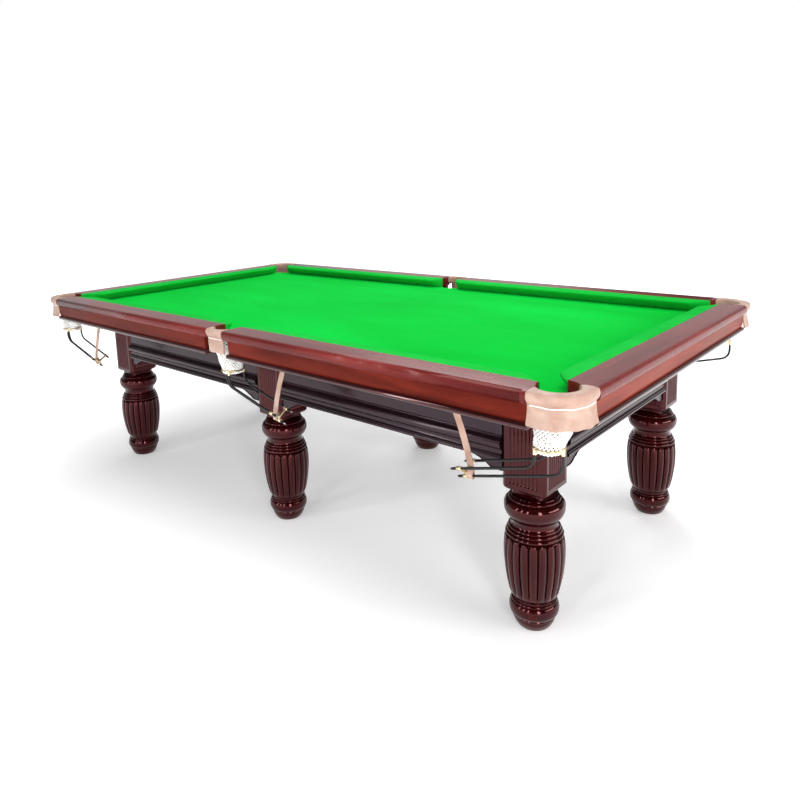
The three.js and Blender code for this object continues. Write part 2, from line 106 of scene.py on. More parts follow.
world = bpy.data.worlds.new("studio")
bpy.context.scene.world = world
world.use_nodes = True
sky = world.node_tree.nodes
sky.clear()
heading = sky.new("ShaderNodeTexCoord")
facing = sky.new("ShaderNodeVectorMath")
facing.operation = "DOT_PRODUCT"
facing.inputs[1].default_value = (-0.66, 0.75, 0.0)
paleness = sky.new("ShaderNodeMapRange")
paleness.inputs["From Min"].default_value = -0.1
paleness.inputs["From Max"].default_value = 0.9
paleness.inputs["To Min"].default_value = 0.07
paleness.inputs["To Max"].default_value = 0.75
backdrop = sky.new("ShaderNodeBackground")
backdrop.inputs["Color"].default_value = (0.95, 0.97, 1, 1)
seen = sky.new("ShaderNodeBackground")
seen.inputs["Color"].default_value = (1, 1, 1, 1)
ray = sky.new("ShaderNodeLightPath")
chosen = sky.new("ShaderNodeMixShader")
surround = sky.new("ShaderNodeOutputWorld")
for start, end in (
    (heading.outputs["Generated"], facing.inputs[0]),
    (facing.outputs["Value"], paleness.inputs["Value"]),
    (paleness.outputs[0], backdrop.inputs["Strength"]),
    (ray.outputs["Is Camera Ray"], chosen.inputs[0]),
    (backdrop.outputs[0], chosen.inputs[1]),
    (seen.outputs[0], chosen.inputs[2]),
    (chosen.outputs[0], surround.inputs["Surface"]),
):
    world.node_tree.links.new(start, end)


class Wire:
    """A value in a material's nodes, so that sums on it are written as sums."""

    def __init__(self, tree, socket):
        self.tree = tree
        self.socket = socket

    def maths(self, operation, first, second=None):
        node = self.tree.nodes.new("ShaderNodeMath")
        node.operation = operation
        for port, value in zip(node.inputs, (first, second)):
            if isinstance(value, Wire):
                self.tree.links.new(value.socket, port)
            elif value is not None:
                port.default_value = value
        return Wire(self.tree, node.outputs[0])

    def __add__(self, other):
        return self.maths("ADD", self, other)

    __radd__ = __add__

    def __sub__(self, other):
        return self.maths("SUBTRACT", self, other)

    def __rsub__(self, other):
        return self.maths("SUBTRACT", other, self)

    def __mul__(self, other):
        return self.maths("MULTIPLY", self, other)

    __rmul__ = __mul__


class Finish:
    """A named material. node() adds any node, and paint() joins values to its shader."""

    def __init__(self, name, **constants):
        self.material = bpy.data.materials.new(name)
        self.material.use_nodes = True
        self.tree = self.material.node_tree
        self.tree.nodes.clear()
        self.shader = self.tree.nodes.new("ShaderNodeBsdfPrincipled")
        output = self.tree.nodes.new("ShaderNodeOutputMaterial")
        self.tree.links.new(self.shader.outputs[0], output.inputs["Surface"])
        for key, value in constants.items():
            self.port(key).default_value = value

    def port(self, key):
        return next(p for p in self.shader.inputs if p.name.lower() == key.replace("_", " "))

    def join(self, value, port):
        if isinstance(value, Wire):
            self.tree.links.new(value.socket, port)
        elif isinstance(value, tuple) and len(value) == 3 and len(port.default_value) == 4:
            port.default_value = (*value, 1)
        else:
            port.default_value = value

    def node(self, kind, settings, out=0, **values):
        made = self.tree.nodes.new("ShaderNode" + kind)
        for key, value in settings.items():
            if key == "stops":
                ramp = made.color_ramp
                while len(ramp.elements) < len(value):
                    ramp.elements.new(1)
                for element, (place, colour) in zip(ramp.elements, value):
                    element.position = place
                    element.color = (*colour, 1)
            else:
                setattr(made, key, value)
        for key, value in values.items():
            port = next(p for p in made.inputs if key in (p.identifier, p.name.replace(" ", "_")))
            self.join(value, port)
        return Wire(self.tree, made.outputs[out])

    def place(self, scale=(1, 1, 1), turn=(0, 0, 0)):
        """Position on the object, stretched and turned."""
        here = self.node("TexCoord", {}, "Object")
        return self.node("Mapping", {}, Vector=here, Scale=scale, Rotation=turn)

    def noise(self, where, scale, detail=4.0, roughness=0.5, distortion=0.0):
        return self.node(
            "TexNoise", {}, Vector=where, Scale=scale, Detail=detail, Roughness=roughness, Distortion=distortion
        )

    def ramp(self, value, *stops):
        return self.node("ValToRGB", {"stops": stops}, Fac=value)

    def grade(self, value, low, high, to_low=0.0, to_high=1.0):
        """Stretches the values from low to high over a new range, and clamps them."""
        return self.node("MapRange", {}, Value=value, From_Min=low, From_Max=high, To_Min=to_low, To_Max=to_high)

    def mix(self, share, first, second, blend="MIX"):
        settings = {"data_type": "RGBA", "blend_type": blend}
        return self.node("Mix", settings, 2, Factor_Float=share, A_Color=first, B_Color=second)

    def paint(self, colour=None, roughness=None, height=None, depth=0.001, strength=1.0, **others):
        if colour is not None:
            self.join(colour, self.port("base_color"))
        if roughness is not None:
            self.join(roughness, self.port("roughness"))
        if height is not None:
            bump = self.node("Bump", {}, Height=height, Distance=depth, Strength=strength)
            self.join(bump, self.port("normal"))
        for key, value in others.items():
            self.join(value, self.port(key))
        return self.material


floor_paint = Finish("floor_paint", specular_ior_level=0.1, emission_strength=1.0)
floor_tone = floor_paint.noise(floor_paint.place(), 0.8, 3)
# Painted light: the floor glows by itself, faintly within 1.6 m of the table's middle and rising to full white 6 m out.
distance = floor_paint.node("VectorMath", {"operation": "LENGTH"}, 1, Vector=floor_paint.place())
glow = floor_paint.grade(distance, 1.6, 6.0, 0.28, 1.0)
floor_paint.paint(
    floor_paint.ramp(floor_tone, (0.3, (0.88, 0.88, 0.88)), (0.7, (0.91, 0.91, 0.91))),
    floor_paint.grade(floor_tone, 0.3, 0.7, 0.75, 0.9),
    emission_color=floor_paint.node("CombineColor", {}, Red=glow, Green=glow, Blue=glow),
)
ground = bmesh.new()
bmesh.ops.create_grid(ground, x_segments=1, y_segments=1, size=40)
floor_mesh = bpy.data.meshes.new("floor")
ground.to_mesh(floor_mesh)
ground.free()
floor = bpy.data.objects.new("floor", floor_mesh)
floor_mesh.materials.append(floor_paint.material)
bpy.context.collection.objects.link(floor)

# ---------------------------------------------------------------------------------------------
# Levelling feet: zinc-plated steel pads with a threaded stem that screws up into the plinth of each
# leg. The pad has a chamfered edge.

MM = 0.001
CORNER_LEG_X = 1145
LEG_Y = 475
LEG_PLACES = (
    ("front_right", CORNER_LEG_X, -LEG_Y, 0),
    ("front_middle", 0, -LEG_Y, 0),
    ("front_left", -CORNER_LEG_X, -LEG_Y, 0),
    ("back_left", -CORNER_LEG_X, LEG_Y, 180),
    ("back_middle", 0, LEG_Y, 180),
    ("back_right", CORNER_LEG_X, LEG_Y, 180),
)


def moulded(points, steps=4):
    """A smooth line through the points. A point given twice is a sharp corner."""
    line = []
    for i in range(len(points) - 1):
        a, b = Vector(points[i]), Vector(points[i + 1])
        if a == b:
            continue
        before = Vector(points[i - 1]) if i else a
        after = Vector(points[i + 2]) if i + 2 < len(points) else b
        for step in range(steps):
            t = step / steps
            line.append(
                (
                    2 * a
                    + (b - before) * t
                    + (2 * before - 5 * a + 4 * b - after) * t**2
                    + (3 * a - before - 3 * b + after) * t**3
                )
                / 2
            )
    line.append(Vector(points[-1]))
    return line


def chain(bm, points, closed=False):
    """Vertices joined one after another by edges."""
    verts = [bm.verts.new(p) for p in points]
    ends = verts[1:] + verts[:1] if closed else verts[1:]
    return verts, [bm.edges.new(pair) for pair in zip(verts, ends)]


def lathe(bm, profile, steps=48, around=(0, 0)):
    """Turns a line of (radius, height) about an upright axis."""
    x, y = around
    verts, edges = chain(bm, [(x + r, y, z) for r, z in profile])
    bmesh.ops.spin(
        bm,
        geom=verts + edges,
        cent=(x, y, 0),
        axis=(0, 0, 1),
        angle=2 * math.pi,
        steps=steps,
        use_merge=True,
        use_duplicate=False,
    )


def loft(bm, loops, closed=True, capped=True):
    """Draws one outline out through the next ones, point for point."""
    verts, edges = chain(bm, loops[0], closed)
    if capped:
        bmesh.ops.contextual_create(bm, geom=edges)
    for loop in loops[1:]:
        made = bmesh.ops.extrude_edge_only(bm, edges=edges)["geom"]
        fresh = {v for v in made if isinstance(v, bmesh.types.BMVert)}
        verts = [next(e.other_vert(v) for e in v.link_edges if e.other_vert(v) in fresh) for v in verts]
        edges = [e for e in made if isinstance(e, bmesh.types.BMEdge) and set(e.verts) <= fresh]
        for vert, point in zip(verts, loop):
            vert.co = point
    if capped:
        bmesh.ops.contextual_create(bm, geom=edges)
    return verts


def moved(bm, x=0, y=0, z=0, turn=0, mirror=False, around=0):
    """A copy that is mirrored in X, turned, shifted, and then carried round the table's middle."""
    copy = bm.copy()
    matrix = Matrix.Rotation(math.radians(around), 4, "Z") @ Matrix.Translation((x, y, z))
    matrix = matrix @ Matrix.Rotation(math.radians(turn), 4, "Z")
    if mirror:
        matrix = matrix @ Matrix.Scale(-1, 4, (1, 0, 0))
    bmesh.ops.transform(copy, matrix=matrix, verts=copy.verts)
    return copy


def piece(name, bm, finishes, body, stands_for=(), sharp=38, bevel=0.0, ride=True):
    """Makes an object from a mesh in millimetres, and fixes it to its body."""
    bmesh.ops.remove_doubles(bm, verts=bm.verts, dist=0.01)
    bmesh.ops.recalc_face_normals(bm, faces=bm.faces)
    bmesh.ops.scale(bm, vec=(MM, MM, MM), verts=bm.verts)
    for face in bm.faces:
        face.smooth = True
    for edge in bm.edges:
        edge.smooth = edge.calc_face_angle(0) < math.radians(sharp)
    mesh = bpy.data.meshes.new(name)
    bm.to_mesh(mesh)
    bm.free()
    obj = bpy.data.objects.new(name, mesh)
    bpy.context.collection.objects.link(obj)
    for finish in finishes if isinstance(finishes, (list, tuple)) else [finishes]:
        mesh.materials.append(finish)
    if bevel:
        edge = obj.modifiers.new("softened_edges", "BEVEL")
        edge.width = bevel * MM
        edge.segments = 2
        edge.limit_method = "ANGLE"
        edge.angle_limit = math.radians(sharp)
        edge.harden_normals = False
    if ride:
        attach(obj, body)
    if stands_for:
        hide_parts(*stands_for)
    return obj


def steel(name, colour, roughness):
    """Plated steel with fine scratches."""
    made = Finish(name, metallic=1.0)
    scratches = made.noise(made.place((60, 60, 900)), 1.0, 3)
    cloud = made.noise(made.place(), 45, 4)
    return made.paint(
        made.ramp(cloud, (0.3, tuple(c * 0.75 for c in colour)), (0.7, colour)),
        made.grade(scratches + cloud, 0.7, 1.3, roughness, roughness + 0.2),
        scratches,
        0.0002,
        0.3,
    )


foot_steel = steel("foot_steel", (0.42, 0.43, 0.45), 0.3)
PAD_RADIUS = 40
PAD_THICKNESS = 10
STEM_RADIUS = 9
STEM_TOP = 56
THREAD_PITCH = 2.0
foot = bmesh.new()
thread = []
for turn in range(20):
    low = PAD_THICKNESS + 5 + turn * THREAD_PITCH
    thread += [(STEM_RADIUS - 1, low), (STEM_RADIUS, low + THREAD_PITCH / 2)]
lathe(
    foot,
    [
        (0, 0),
        (PAD_RADIUS - 3, 0),
        (PAD_RADIUS - 1, 0.6),
        (PAD_RADIUS, 2),
        (PAD_RADIUS, 7),
        (PAD_RADIUS - 2, 9),
        (STEM_RADIUS + 9, PAD_THICKNESS),
        (STEM_RADIUS, PAD_THICKNESS + 2),
        *thread,
        (STEM_RADIUS - 2, STEM_TOP),
        (0, STEM_TOP),
    ],
    32,
)
for place, x, y, turn in LEG_PLACES:
    piece(
        f"foot_pad_{place}",
        moved(foot, x, y, turn=turn),
        foot_steel,
        f"foot_{place}",
        [f"levelling_foot_{place}"],
    )
foot.free()

# ---------------------------------------------------------------------------------------------
# Legs: turned from one baulk of cherry-stained hardwood and lacquered. A square fluted block stands
# over a neck, a heavy collar, a reeded barrel and a foot bulge. The blocks are bolted to the aprons.


def lacquered(name, grain, deep, warm, glow=(1, 0.3, 0.32), shine=0.4, roughness=0.11, coat=0.25, haze=0.03, peel_depth=0.03):
    """Stained and lacquered hardwood. grain is the axis that its fibres run along."""
    made = Finish(name, coat_weight=coat, coat_roughness=haze, specular_ior_level=shine)
    made.port("specular_tint").default_value = (*glow, 1)
    along = "xyz".index(grain)
    figure_scale = [26, 26, 26]
    pore_scale = [650, 650, 650]
    figure_scale[along] = 1.6
    pore_scale[along] = 26
    figure = made.noise(made.place(figure_scale), 1.0, 6, 0.6, 0.7)
    pores = made.noise(made.place(pore_scale), 1.0, 2)
    cloud = made.noise(made.place(), 4.5, 3)
    stain = made.ramp(
        figure,
        (0.28, deep),
        (0.5, tuple((a + b) / 2 for a, b in zip(deep, warm))),
        (0.74, warm),
    )
    shade = made.grade(pores, 0.32, 0.48, 0.84, 1.0) * made.grade(cloud, 0.3, 0.7, 0.85, 1.1)
    colour = made.mix(1.0, stain, made.node("CombineColor", {}, Red=shade, Green=shade, Blue=shade), "MULTIPLY")
    peel = made.noise(made.place(), 70, 2)
    return made.paint(
        colour,
        made.grade(cloud, 0.3, 0.7, roughness - 0.03, roughness + 0.05),
        pores * 0.05 + peel,
        0.0008,
        peel_depth,
    )


leg_wood = lacquered("leg_wood", "z", (0.005, 0.0003, 0.0004), (0.030, 0.0015, 0.0018), glow=(1, 0.24, 0.26), coat=0.19)

FRAME_TOP = 774.4
BLOCK_BOTTOM = 456.4
BLOCK_HALF = 73
BLOCK_CHAMFER = 12
FLUTES = 8
FLUTE_PITCH = 12.4
FLUTE_SHARE = 0.8
FLUTE_DEPTH = 4.6
FLUTE_POINTS = 7
REEDS = 20
REED_POINTS = 10
REED_DEPTH = 9.0


def block_outline(height, depth, inset=0.0):
    """Plan of the fluted block at a height. depth is how deep its flutes are there."""
    half = BLOCK_HALF - inset
    face = [(BLOCK_CHAMFER - BLOCK_HALF, 0)]
    for flute in range(FLUTES):
        middle = (flute - (FLUTES - 1) / 2) * FLUTE_PITCH
        for step in range(FLUTE_POINTS):
            share = step / (FLUTE_POINTS - 1)
            across = middle + (share - 0.5) * FLUTE_PITCH * FLUTE_SHARE
            face.append((across, depth * math.sin(math.pi * share) ** 0.7 if 0 < share < 1 else 0))
    face.append((BLOCK_HALF - BLOCK_CHAMFER, 0))
    points = []
    for quarter in range(4):
        turn = Matrix.Rotation(quarter * math.pi / 2, 3, "Z")
        points += [turn @ Vector((across, inward - half, height)) for across, inward in face]
    return points


def reed_loop(height, radius, depth, floor_radius, crown):
    """Plan of the barrel at a height. Above its crown each reed's rounded end falls to the floor radius."""
    points = []
    count = REEDS * REED_POINTS
    for i in range(count):
        across = (i % REED_POINTS) / REED_POINTS * 2 - 1
        bulge = math.sqrt(max(0.0, 1 - across**2))
        end = crown - 18 * (1 - bulge)
        r = radius - depth * (1 - bulge)
        if height > end:
            r = min(r, floor_radius)
        angle = 2 * math.pi * i / count
        points.append((r * math.cos(angle), r * math.sin(angle), height))
    return points


def square_loop(height, half, corner):
    """Plan of a square with cut corners at a height."""
    side = half - corner
    return [
        (-side, -half, height),
        (side, -half, height),
        (half, -side, height),
        (half, side, height),
        (side, half, height),
        (-side, half, height),
        (-half, side, height),
        (-half, -side, height),
    ]


leg = bmesh.new()
FLUTE_FOOT = BLOCK_BOTTOM + 15
FLUTE_HEAD = FRAME_TOP - 16
levels = [(BLOCK_BOTTOM, 0, 1.5), (BLOCK_BOTTOM + 1.5, 0, 0), (FLUTE_FOOT, 0, 0)]
for step in (1, 2, 3, 4):
    levels.append((FLUTE_FOOT + 5 * (1 - math.cos(step * math.pi / 8)), math.sin(step * math.pi / 8), 0))
levels += [(FLUTE_HEAD - (z - FLUTE_FOOT), share, 0) for z, share, _ in reversed(levels[2:])]
levels.append((FRAME_TOP, 0, 0))
loft(leg, [block_outline(z, FLUTE_DEPTH * share, inset) for z, share, inset in levels])
loft(
    leg,
    [
        square_loop(BLOCK_BOTTOM + 0.5, BLOCK_HALF - 3, BLOCK_CHAMFER),
        square_loop(BLOCK_BOTTOM - 4, BLOCK_HALF - 5, BLOCK_CHAMFER - 1),
        square_loop(BLOCK_BOTTOM - 11, BLOCK_HALF - 17, BLOCK_CHAMFER - 4),
        square_loop(BLOCK_BOTTOM - 14, BLOCK_HALF - 21.5, BLOCK_CHAMFER - 5),
        square_loop(BLOCK_BOTTOM - 32, BLOCK_HALF - 21.5, BLOCK_CHAMFER - 5),
    ],
)
head_profile = moulded(
    [
        (0, 431),
        (66, 431),
        (69, 431),
        (69, 431),
        (71.5, 428),
        (69, 425),
        (69, 425),
        (74, 424),
        (78, 421),
        (78, 417),
        (76, 415),
        (76, 415),
        (84, 413),
        (90.5, 404),
        (92, 393),
        (91, 381),
        (86, 369),
        (82, 364),
        (82, 364),
        (79, 363),
        (79, 363),
        (74, 355),
        (71, 346),
        (71, 338),
        (73, 334),
        (73, 334),
        (77, 332),
        (79, 328),
        (77, 324.5),
        (77, 324.5),
        (81.5, 322),
        (83.5, 317.5),
        (81.5, 313.5),
        (81.5, 313.5),
        (86, 311),
        (88, 306.5),
        (86, 302),
        (86, 302),
        (82, 300),
        (82, 296),
        (0, 296),
    ],
    4,
)
lathe(leg, head_profile, 64)
barrel = [
    (110, 72, 0.0),
    (114, 74, 0.15),
    (120, 76.5, 0.45),
    (128, 78.5, 0.8),
    (140, 81.2, 1),
    (160, 85.2, 1),
    (185, 88.8, 1),
    (210, 91.4, 1),
    (235, 92.8, 1),
    (258, 92.8, 1),
    (276, 91.6, 1),
    (280.5, 91.3, 1),
    (284, 91.0, 1),
    (287, 90.7, 1),
    (289.5, 90.3, 1),
    (292, 89.8, 1),
    (294.5, 89.2, 1),
    (296.5, 88.6, 1),
    (298, 88.0, 1),
    (299.5, 87.2, 1),
]
loft(leg, [reed_loop(z, r, REED_DEPTH * share, 80, 299) for z, r, share in barrel])
foot_profile = moulded(
    [
        (0, 112),
        (72.5, 112),
        (72.5, 112),
        (70, 107),
        (66.5, 101),
        (65, 96),
        (65, 93),
        (65, 93),
        (68.5, 91),
        (70, 88),
        (69, 85),
        (69, 85),
        (73, 80),
        (76, 70),
        (76.3, 61),
        (75, 52),
        (71, 45),
        (67, 42),
        (67, 42),
        (68.3, 39),
        (67, 36),
        (64.5, 35),
        (64.5, 35),
        (64, 28),
        (60, 17),
        (54, 7),
        (51, 3),
        (51, 3),
        (43, 3),
        (43, 3),
        (43, 12),
        (43, 12),
        (STEM_RADIUS + 0.6, 12),
        (STEM_RADIUS + 0.6, 12),
        (STEM_RADIUS + 0.6, STEM_TOP + 4),
        (STEM_RADIUS + 0.6, STEM_TOP + 4),
        (0, STEM_TOP + 4),
    ],
    4,
)
lathe(leg, foot_profile, 64)
for place, x, y, turn in LEG_PLACES:
    piece(
        f"turned_leg_{place}",
        moved(leg, x, y, turn=turn),
        leg_wood,
        "table",
        [f"leg_{place}"],
        sharp=32,
    )
leg.free()

# ---------------------------------------------------------------------------------------------
# Aprons: flat panels between the legs with a heavy half-round moulding and beads along the foot, and
# shaped brackets in the corners. They are dowelled between the leg blocks and lacquered very dark.

apron_finish = {
    "deep": (0.004, 0.0014, 0.0020),
    "warm": (0.016, 0.0045, 0.0060),
    "glow": (0.9, 0.62, 0.78),
    "shine": 0.3,
    "roughness": 0.22,
    "coat": 0.18,
    "haze": 0.09,
}
apron_wood = lacquered("apron_wood", "x", **apron_finish)
apron_wood_end = lacquered("apron_wood_end", "y", **apron_finish)

APRON_FACE = LEG_Y + BLOCK_HALF - 8
APRON_END_FACE = CORNER_LEG_X + BLOCK_HALF - 8
APRON_BOTTOM = 533.4
APRON_THICKNESS = 28
BRACKET_LENGTH = 118
BRACKET_DROP = 34
FIT = 0.3


def bar(bm, section, face, start, end):
    """A moulding along X whose section is (distance in from the face, height)."""
    loft(bm, [[(x, inward - face, z) for inward, z in section] for x in (start, end)])


apron_section = moulded(
    [
        (0, FRAME_TOP),
        (0, FRAME_TOP),
        (0, APRON_BOTTOM + 78),
        (0, APRON_BOTTOM + 78),
        (-2.5, APRON_BOTTOM + 77),
        (-3.5, APRON_BOTTOM + 74.5),
        (-2.5, APRON_BOTTOM + 72),
        (-2.5, APRON_BOTTOM + 72),
        (-1, APRON_BOTTOM + 70),
        (-1, APRON_BOTTOM + 70),
        (-5, APRON_BOTTOM + 67),
        (-11, APRON_BOTTOM + 62.5),
        (-14.4, APRON_BOTTOM + 55),
        (-14.6, APRON_BOTTOM + 48),
        (-12, APRON_BOTTOM + 41.5),
        (-8, APRON_BOTTOM + 38),
        (-8, APRON_BOTTOM + 38),
        (-5, APRON_BOTTOM + 36),
        (-5, APRON_BOTTOM + 36),
        (-2, APRON_BOTTOM + 31),
        (-1.2, APRON_BOTTOM + 24),
        (-3, APRON_BOTTOM + 18),
        (-7, APRON_BOTTOM + 14.5),
        (-7, APRON_BOTTOM + 14.5),
        (-7, APRON_BOTTOM + 12.5),
        (-7, APRON_BOTTOM + 12.5),
        (-9.5, APRON_BOTTOM + 10),
        (-10, APRON_BOTTOM + 6),
        (-8, APRON_BOTTOM + 1.5),
        (-5, APRON_BOTTOM),
        (-5, APRON_BOTTOM),
        (APRON_THICKNESS, APRON_BOTTOM),
        (APRON_THICKNESS, APRON_BOTTOM),
        (APRON_THICKNESS, FRAME_TOP),
    ],
    3,
)


def bracket(bm, face, start, direction):
    """Shaped bracket under an apron, with a rounded front edge and a step half way along."""
    low = APRON_BOTTOM - BRACKET_DROP
    curve = moulded(
        [
            (0, low),
            (BRACKET_LENGTH * 0.22, low),
            (BRACKET_LENGTH * 0.22, low),
            (BRACKET_LENGTH * 0.36, low + 4),
            (BRACKET_LENGTH * 0.5, low + 15),
            (BRACKET_LENGTH * 0.5, low + 15),
            (BRACKET_LENGTH * 0.55, low + 15),
            (BRACKET_LENGTH * 0.55, low + 15),
            (BRACKET_LENGTH * 0.68, low + 24),
            (BRACKET_LENGTH * 0.85, low + 30),
            (BRACKET_LENGTH, APRON_BOTTOM - 1),
        ],
        3,
    )
    outline = [*curve, Vector((BRACKET_LENGTH, APRON_BOTTOM + 1)), Vector((0, APRON_BOTTOM + 1))]
    loops = []
    for inward, shrink in ((0.5, 2.5), (0.5, 2.5), (-1.5, 1.2), (-2.5, 0), (12, 0), (16, 0)):
        loops.append(
            [
                (start + direction * x, inward - face, z + (shrink if z < APRON_BOTTOM - 2 else 0))
                for x, z in outline
            ]
        )
    loft(bm, loops[1:])


def apron(face, start, end):
    bm = bmesh.new()
    bar(bm, apron_section, face, start + FIT, end - FIT)
    bracket(bm, face - 2.5, start + FIT, 1)
    bracket(bm, face - 2.5, end - FIT, -1)
    return bm


SIDES = (
    (0, "front_right", "front_middle", "front_left", "end_right"),
    (180, "back_left", "back_middle", "back_right", "end_left"),
)
for around, right, middle, left, end in SIDES:
    for place, start, stop in (
        (right, BLOCK_HALF, CORNER_LEG_X - BLOCK_HALF),
        (left, BLOCK_HALF - CORNER_LEG_X, -BLOCK_HALF),
    ):
        panel = apron(APRON_FACE, start, stop)
        piece(
            f"moulded_apron_{place}",
            moved(panel, around=around),
            apron_wood,
            "table",
            [f"apron_{place}"],
            sharp=30,
        )
        panel.free()
    panel = apron(APRON_END_FACE, BLOCK_HALF - LEG_Y, LEG_Y - BLOCK_HALF)
    piece(
        f"moulded_apron_{end}",
        moved(panel, turn=90, around=around),
        apron_wood_end,
        "table",
        [f"apron_{end}"],
        sharp=30,
    )
    panel.free()

# ---------------------------------------------------------------------------------------------
# Cross bearers and slates: planed hardwood beams under the joints of three ground slate slabs. They
# keep the shapes of the frame, with eased edges, and only their sides and undersides are seen.

bearer = Finish("bearer_wood")
bearer_figure = bearer.noise(bearer.place((30, 2, 30)), 1.0, 5, 0.6, 0.8)
bearer_pores = bearer.noise(bearer.place((700, 30, 700)), 1.0, 2)
bearer.paint(
    bearer.mix(
        bearer.grade(bearer_pores, 0.35, 0.5, 0.35, 0.0),
        bearer.ramp(bearer_figure, (0.3, (0.30, 0.17, 0.08)), (0.7, (0.52, 0.34, 0.18))),
        (0.12, 0.06, 0.03),
    ),
    bearer.grade(bearer_figure, 0.3, 0.7, 0.6, 0.8),
    bearer_pores,
    0.0005,
    0.5,
)
stone = Finish("slate_stone")
stone_cloud = stone.noise(stone.place(), 9, 6, 0.6)
stone_grit = stone.noise(stone.place(), 420, 3)
stone.paint(
    stone.ramp(stone_cloud, (0.3, (0.055, 0.062, 0.068)), (0.7, (0.13, 0.14, 0.15))),
    stone.grade(stone_grit, 0.3, 0.7, 0.6, 0.85),
    stone_grit + stone_cloud * 0.6,
    0.0006,
    0.6,
)
for node, finish, slot in (
    ("cross_bearer_left", bearer, "bearer_wood"),
    ("cross_bearer_right", bearer, "bearer_wood"),
    ("slate_left", stone, "slate"),
    ("slate_middle", stone, "slate"),
    ("slate_right", stone, "slate"),
):
    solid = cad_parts[node]
    solid.data.materials.clear()
    solid.data.materials.append(finish.material)

# ---------------------------------------------------------------------------------------------
# Bed cloth: one sheet of napped green wool, stretched over the slates and turned down over the edge
# of each pocket, where it is tacked out of sight.

CLOTH_TOP = 806
NOSE_X = 1270
NOSE_Y = 635
BED_X = NOSE_X + 60
BED_Y = NOSE_Y + 60
POCKET_X = 1332
POCKET_Y = 697
MIDDLE_POCKET_Y = 722
POCKET_RADIUS = 56
MIDDLE_POCKET_RADIUS = 50


def baize(name, deep, bright):
    """Napped wool cloth: a faint weave, brushed fibres and broad patches where the nap lies over."""
    made = Finish(name, sheen_weight=0.05, sheen_roughness=0.45, specular_ior_level=0.02)
    made.shader.inputs["Sheen Tint"].default_value = (0.1, 1.0, 0.3, 1)
    nap = made.noise(made.place((1.2, 3.5, 2)), 1.0, 4, 0.55)
    fibres = made.noise(made.place((420, 1500, 1500)), 1.0, 3, 0.6)
    threads = made.noise(made.place((2200, 700, 1500)), 1.0, 2)
    tone = made.grade(nap, 0.3, 0.7, 0.0, 0.7) + made.grade(fibres, 0.3, 0.7, 0.0, 0.3)
    return made.paint(
        made.ramp(tone, (0.05, deep), (0.95, bright)),
        made.grade(fibres, 0.3, 0.7, 0.82, 1.0),
        fibres + threads * 0.6,
        0.0006,
        0.6,
    )


bed_wool = baize("bed_wool", (0.0, 0.39, 0.022), (0.001, 0.53, 0.046))


def pocket_arc(x, y, radius, start, stop, steps):
    """Points round a pocket's edge from one bearing to another, in degrees."""
    angles = [math.radians(start + (stop - start) * i / steps) for i in range(steps + 1)]
    return [(x + radius * math.cos(a), y + radius * math.sin(a)) for a in angles]


def bed_edge(grow):
    """The bed's edge, cut back round its six pockets by this much more than the openings."""
    corner = POCKET_RADIUS + 5 + grow
    side = MIDDLE_POCKET_RADIUS + 5 + grow
    lift = math.degrees(math.asin((POCKET_X - BED_X) / corner))
    reach = math.degrees(math.asin((MIDDLE_POCKET_Y - BED_Y) / side))
    half = []
    half += pocket_arc(-POCKET_X, -POCKET_Y, corner, 90 - lift, lift, 14)
    half += pocket_arc(0, -MIDDLE_POCKET_Y, side, 180 - reach, reach, 18)
    half += pocket_arc(POCKET_X, -POCKET_Y, corner, 180 - lift, 90 + lift, 14)
    return half + [(-x, -y) for x, y in half]


cloth = bmesh.new()
fall = [(4.0, CLOTH_TOP), (2.2, CLOTH_TOP - 0.4), (0.7, CLOTH_TOP - 1.7), (0, CLOTH_TOP - 4), (0, CLOTH_TOP - 26)]
loft(cloth, [[(x, y, z) for x, y in bed_edge(grow)] for grow, z in fall], capped=False)
top_rim = [e for e in cloth.edges if all(abs(v.co.z - CLOTH_TOP) < 0.01 for v in e.verts)]
bmesh.ops.contextual_create(cloth, geom=top_rim)
straight = [
    f
    for f in cloth.faces
    if len(f.verts) == 4 and f.calc_center_median().z < CLOTH_TOP - 5 and min(e.calc_length() for e in f.edges) > 20
]
bmesh.ops.delete(cloth, geom=straight, context="FACES")
bed = piece("bed_cloth_sheet", cloth, bed_wool, "table", ["bed_cloth"], sharp=60)

# ---------------------------------------------------------------------------------------------
# Rails: six lacquered mahogany boards with a flat top and a half-round nose. A recessed facia and a
# separate bead hang below, and stop short of the middle pockets. Each rail is bolted up from below.

rail_finish = {"deep": (0.055, 0.0075, 0.0055), "warm": (0.170, 0.030, 0.020)}
rail_finish = {
    "deep": (0.070, 0.0060, 0.0060),
    "warm": (0.190, 0.024, 0.020),
    "glow": (1.0, 0.60, 0.56),
    "shine": 0.2,
    "roughness": 0.26,
    "coat": 0.05,
    "peel_depth": 0.006,
}
rail_wood = lacquered("rail_wood", "x", **rail_finish)
rail_wood_end = lacquered("rail_wood_end", "y", **rail_finish)
facia_finish = {
    "deep": (0.036, 0.0030, 0.0018),
    "warm": (0.150, 0.017, 0.009),
    "glow": (1.0, 0.30, 0.22),
    "shine": 0.06,
    "roughness": 0.3,
    "coat": 0.02,
    "peel_depth": 0.01,
}
facia_wood = lacquered("facia_wood", "x", **facia_finish)
# Painted light: the end facias take a lighter copy of the facia colours, for the strong light that falls on the table's
# ends.
facia_wood_end = lacquered("facia_wood_end", "y", **facia_finish | {"deep": (0.09, 0.011, 0.006), "warm": (0.30, 0.050, 0.027)})
bead_finish = {"deep": (0.009, 0.0014, 0.0016), "warm": (0.036, 0.006, 0.006)}
bead_wood = lacquered("bead_wood", "x", coat=0.45, **bead_finish)
bead_wood_end = lacquered("bead_wood_end", "y", coat=0.45, **bead_finish)

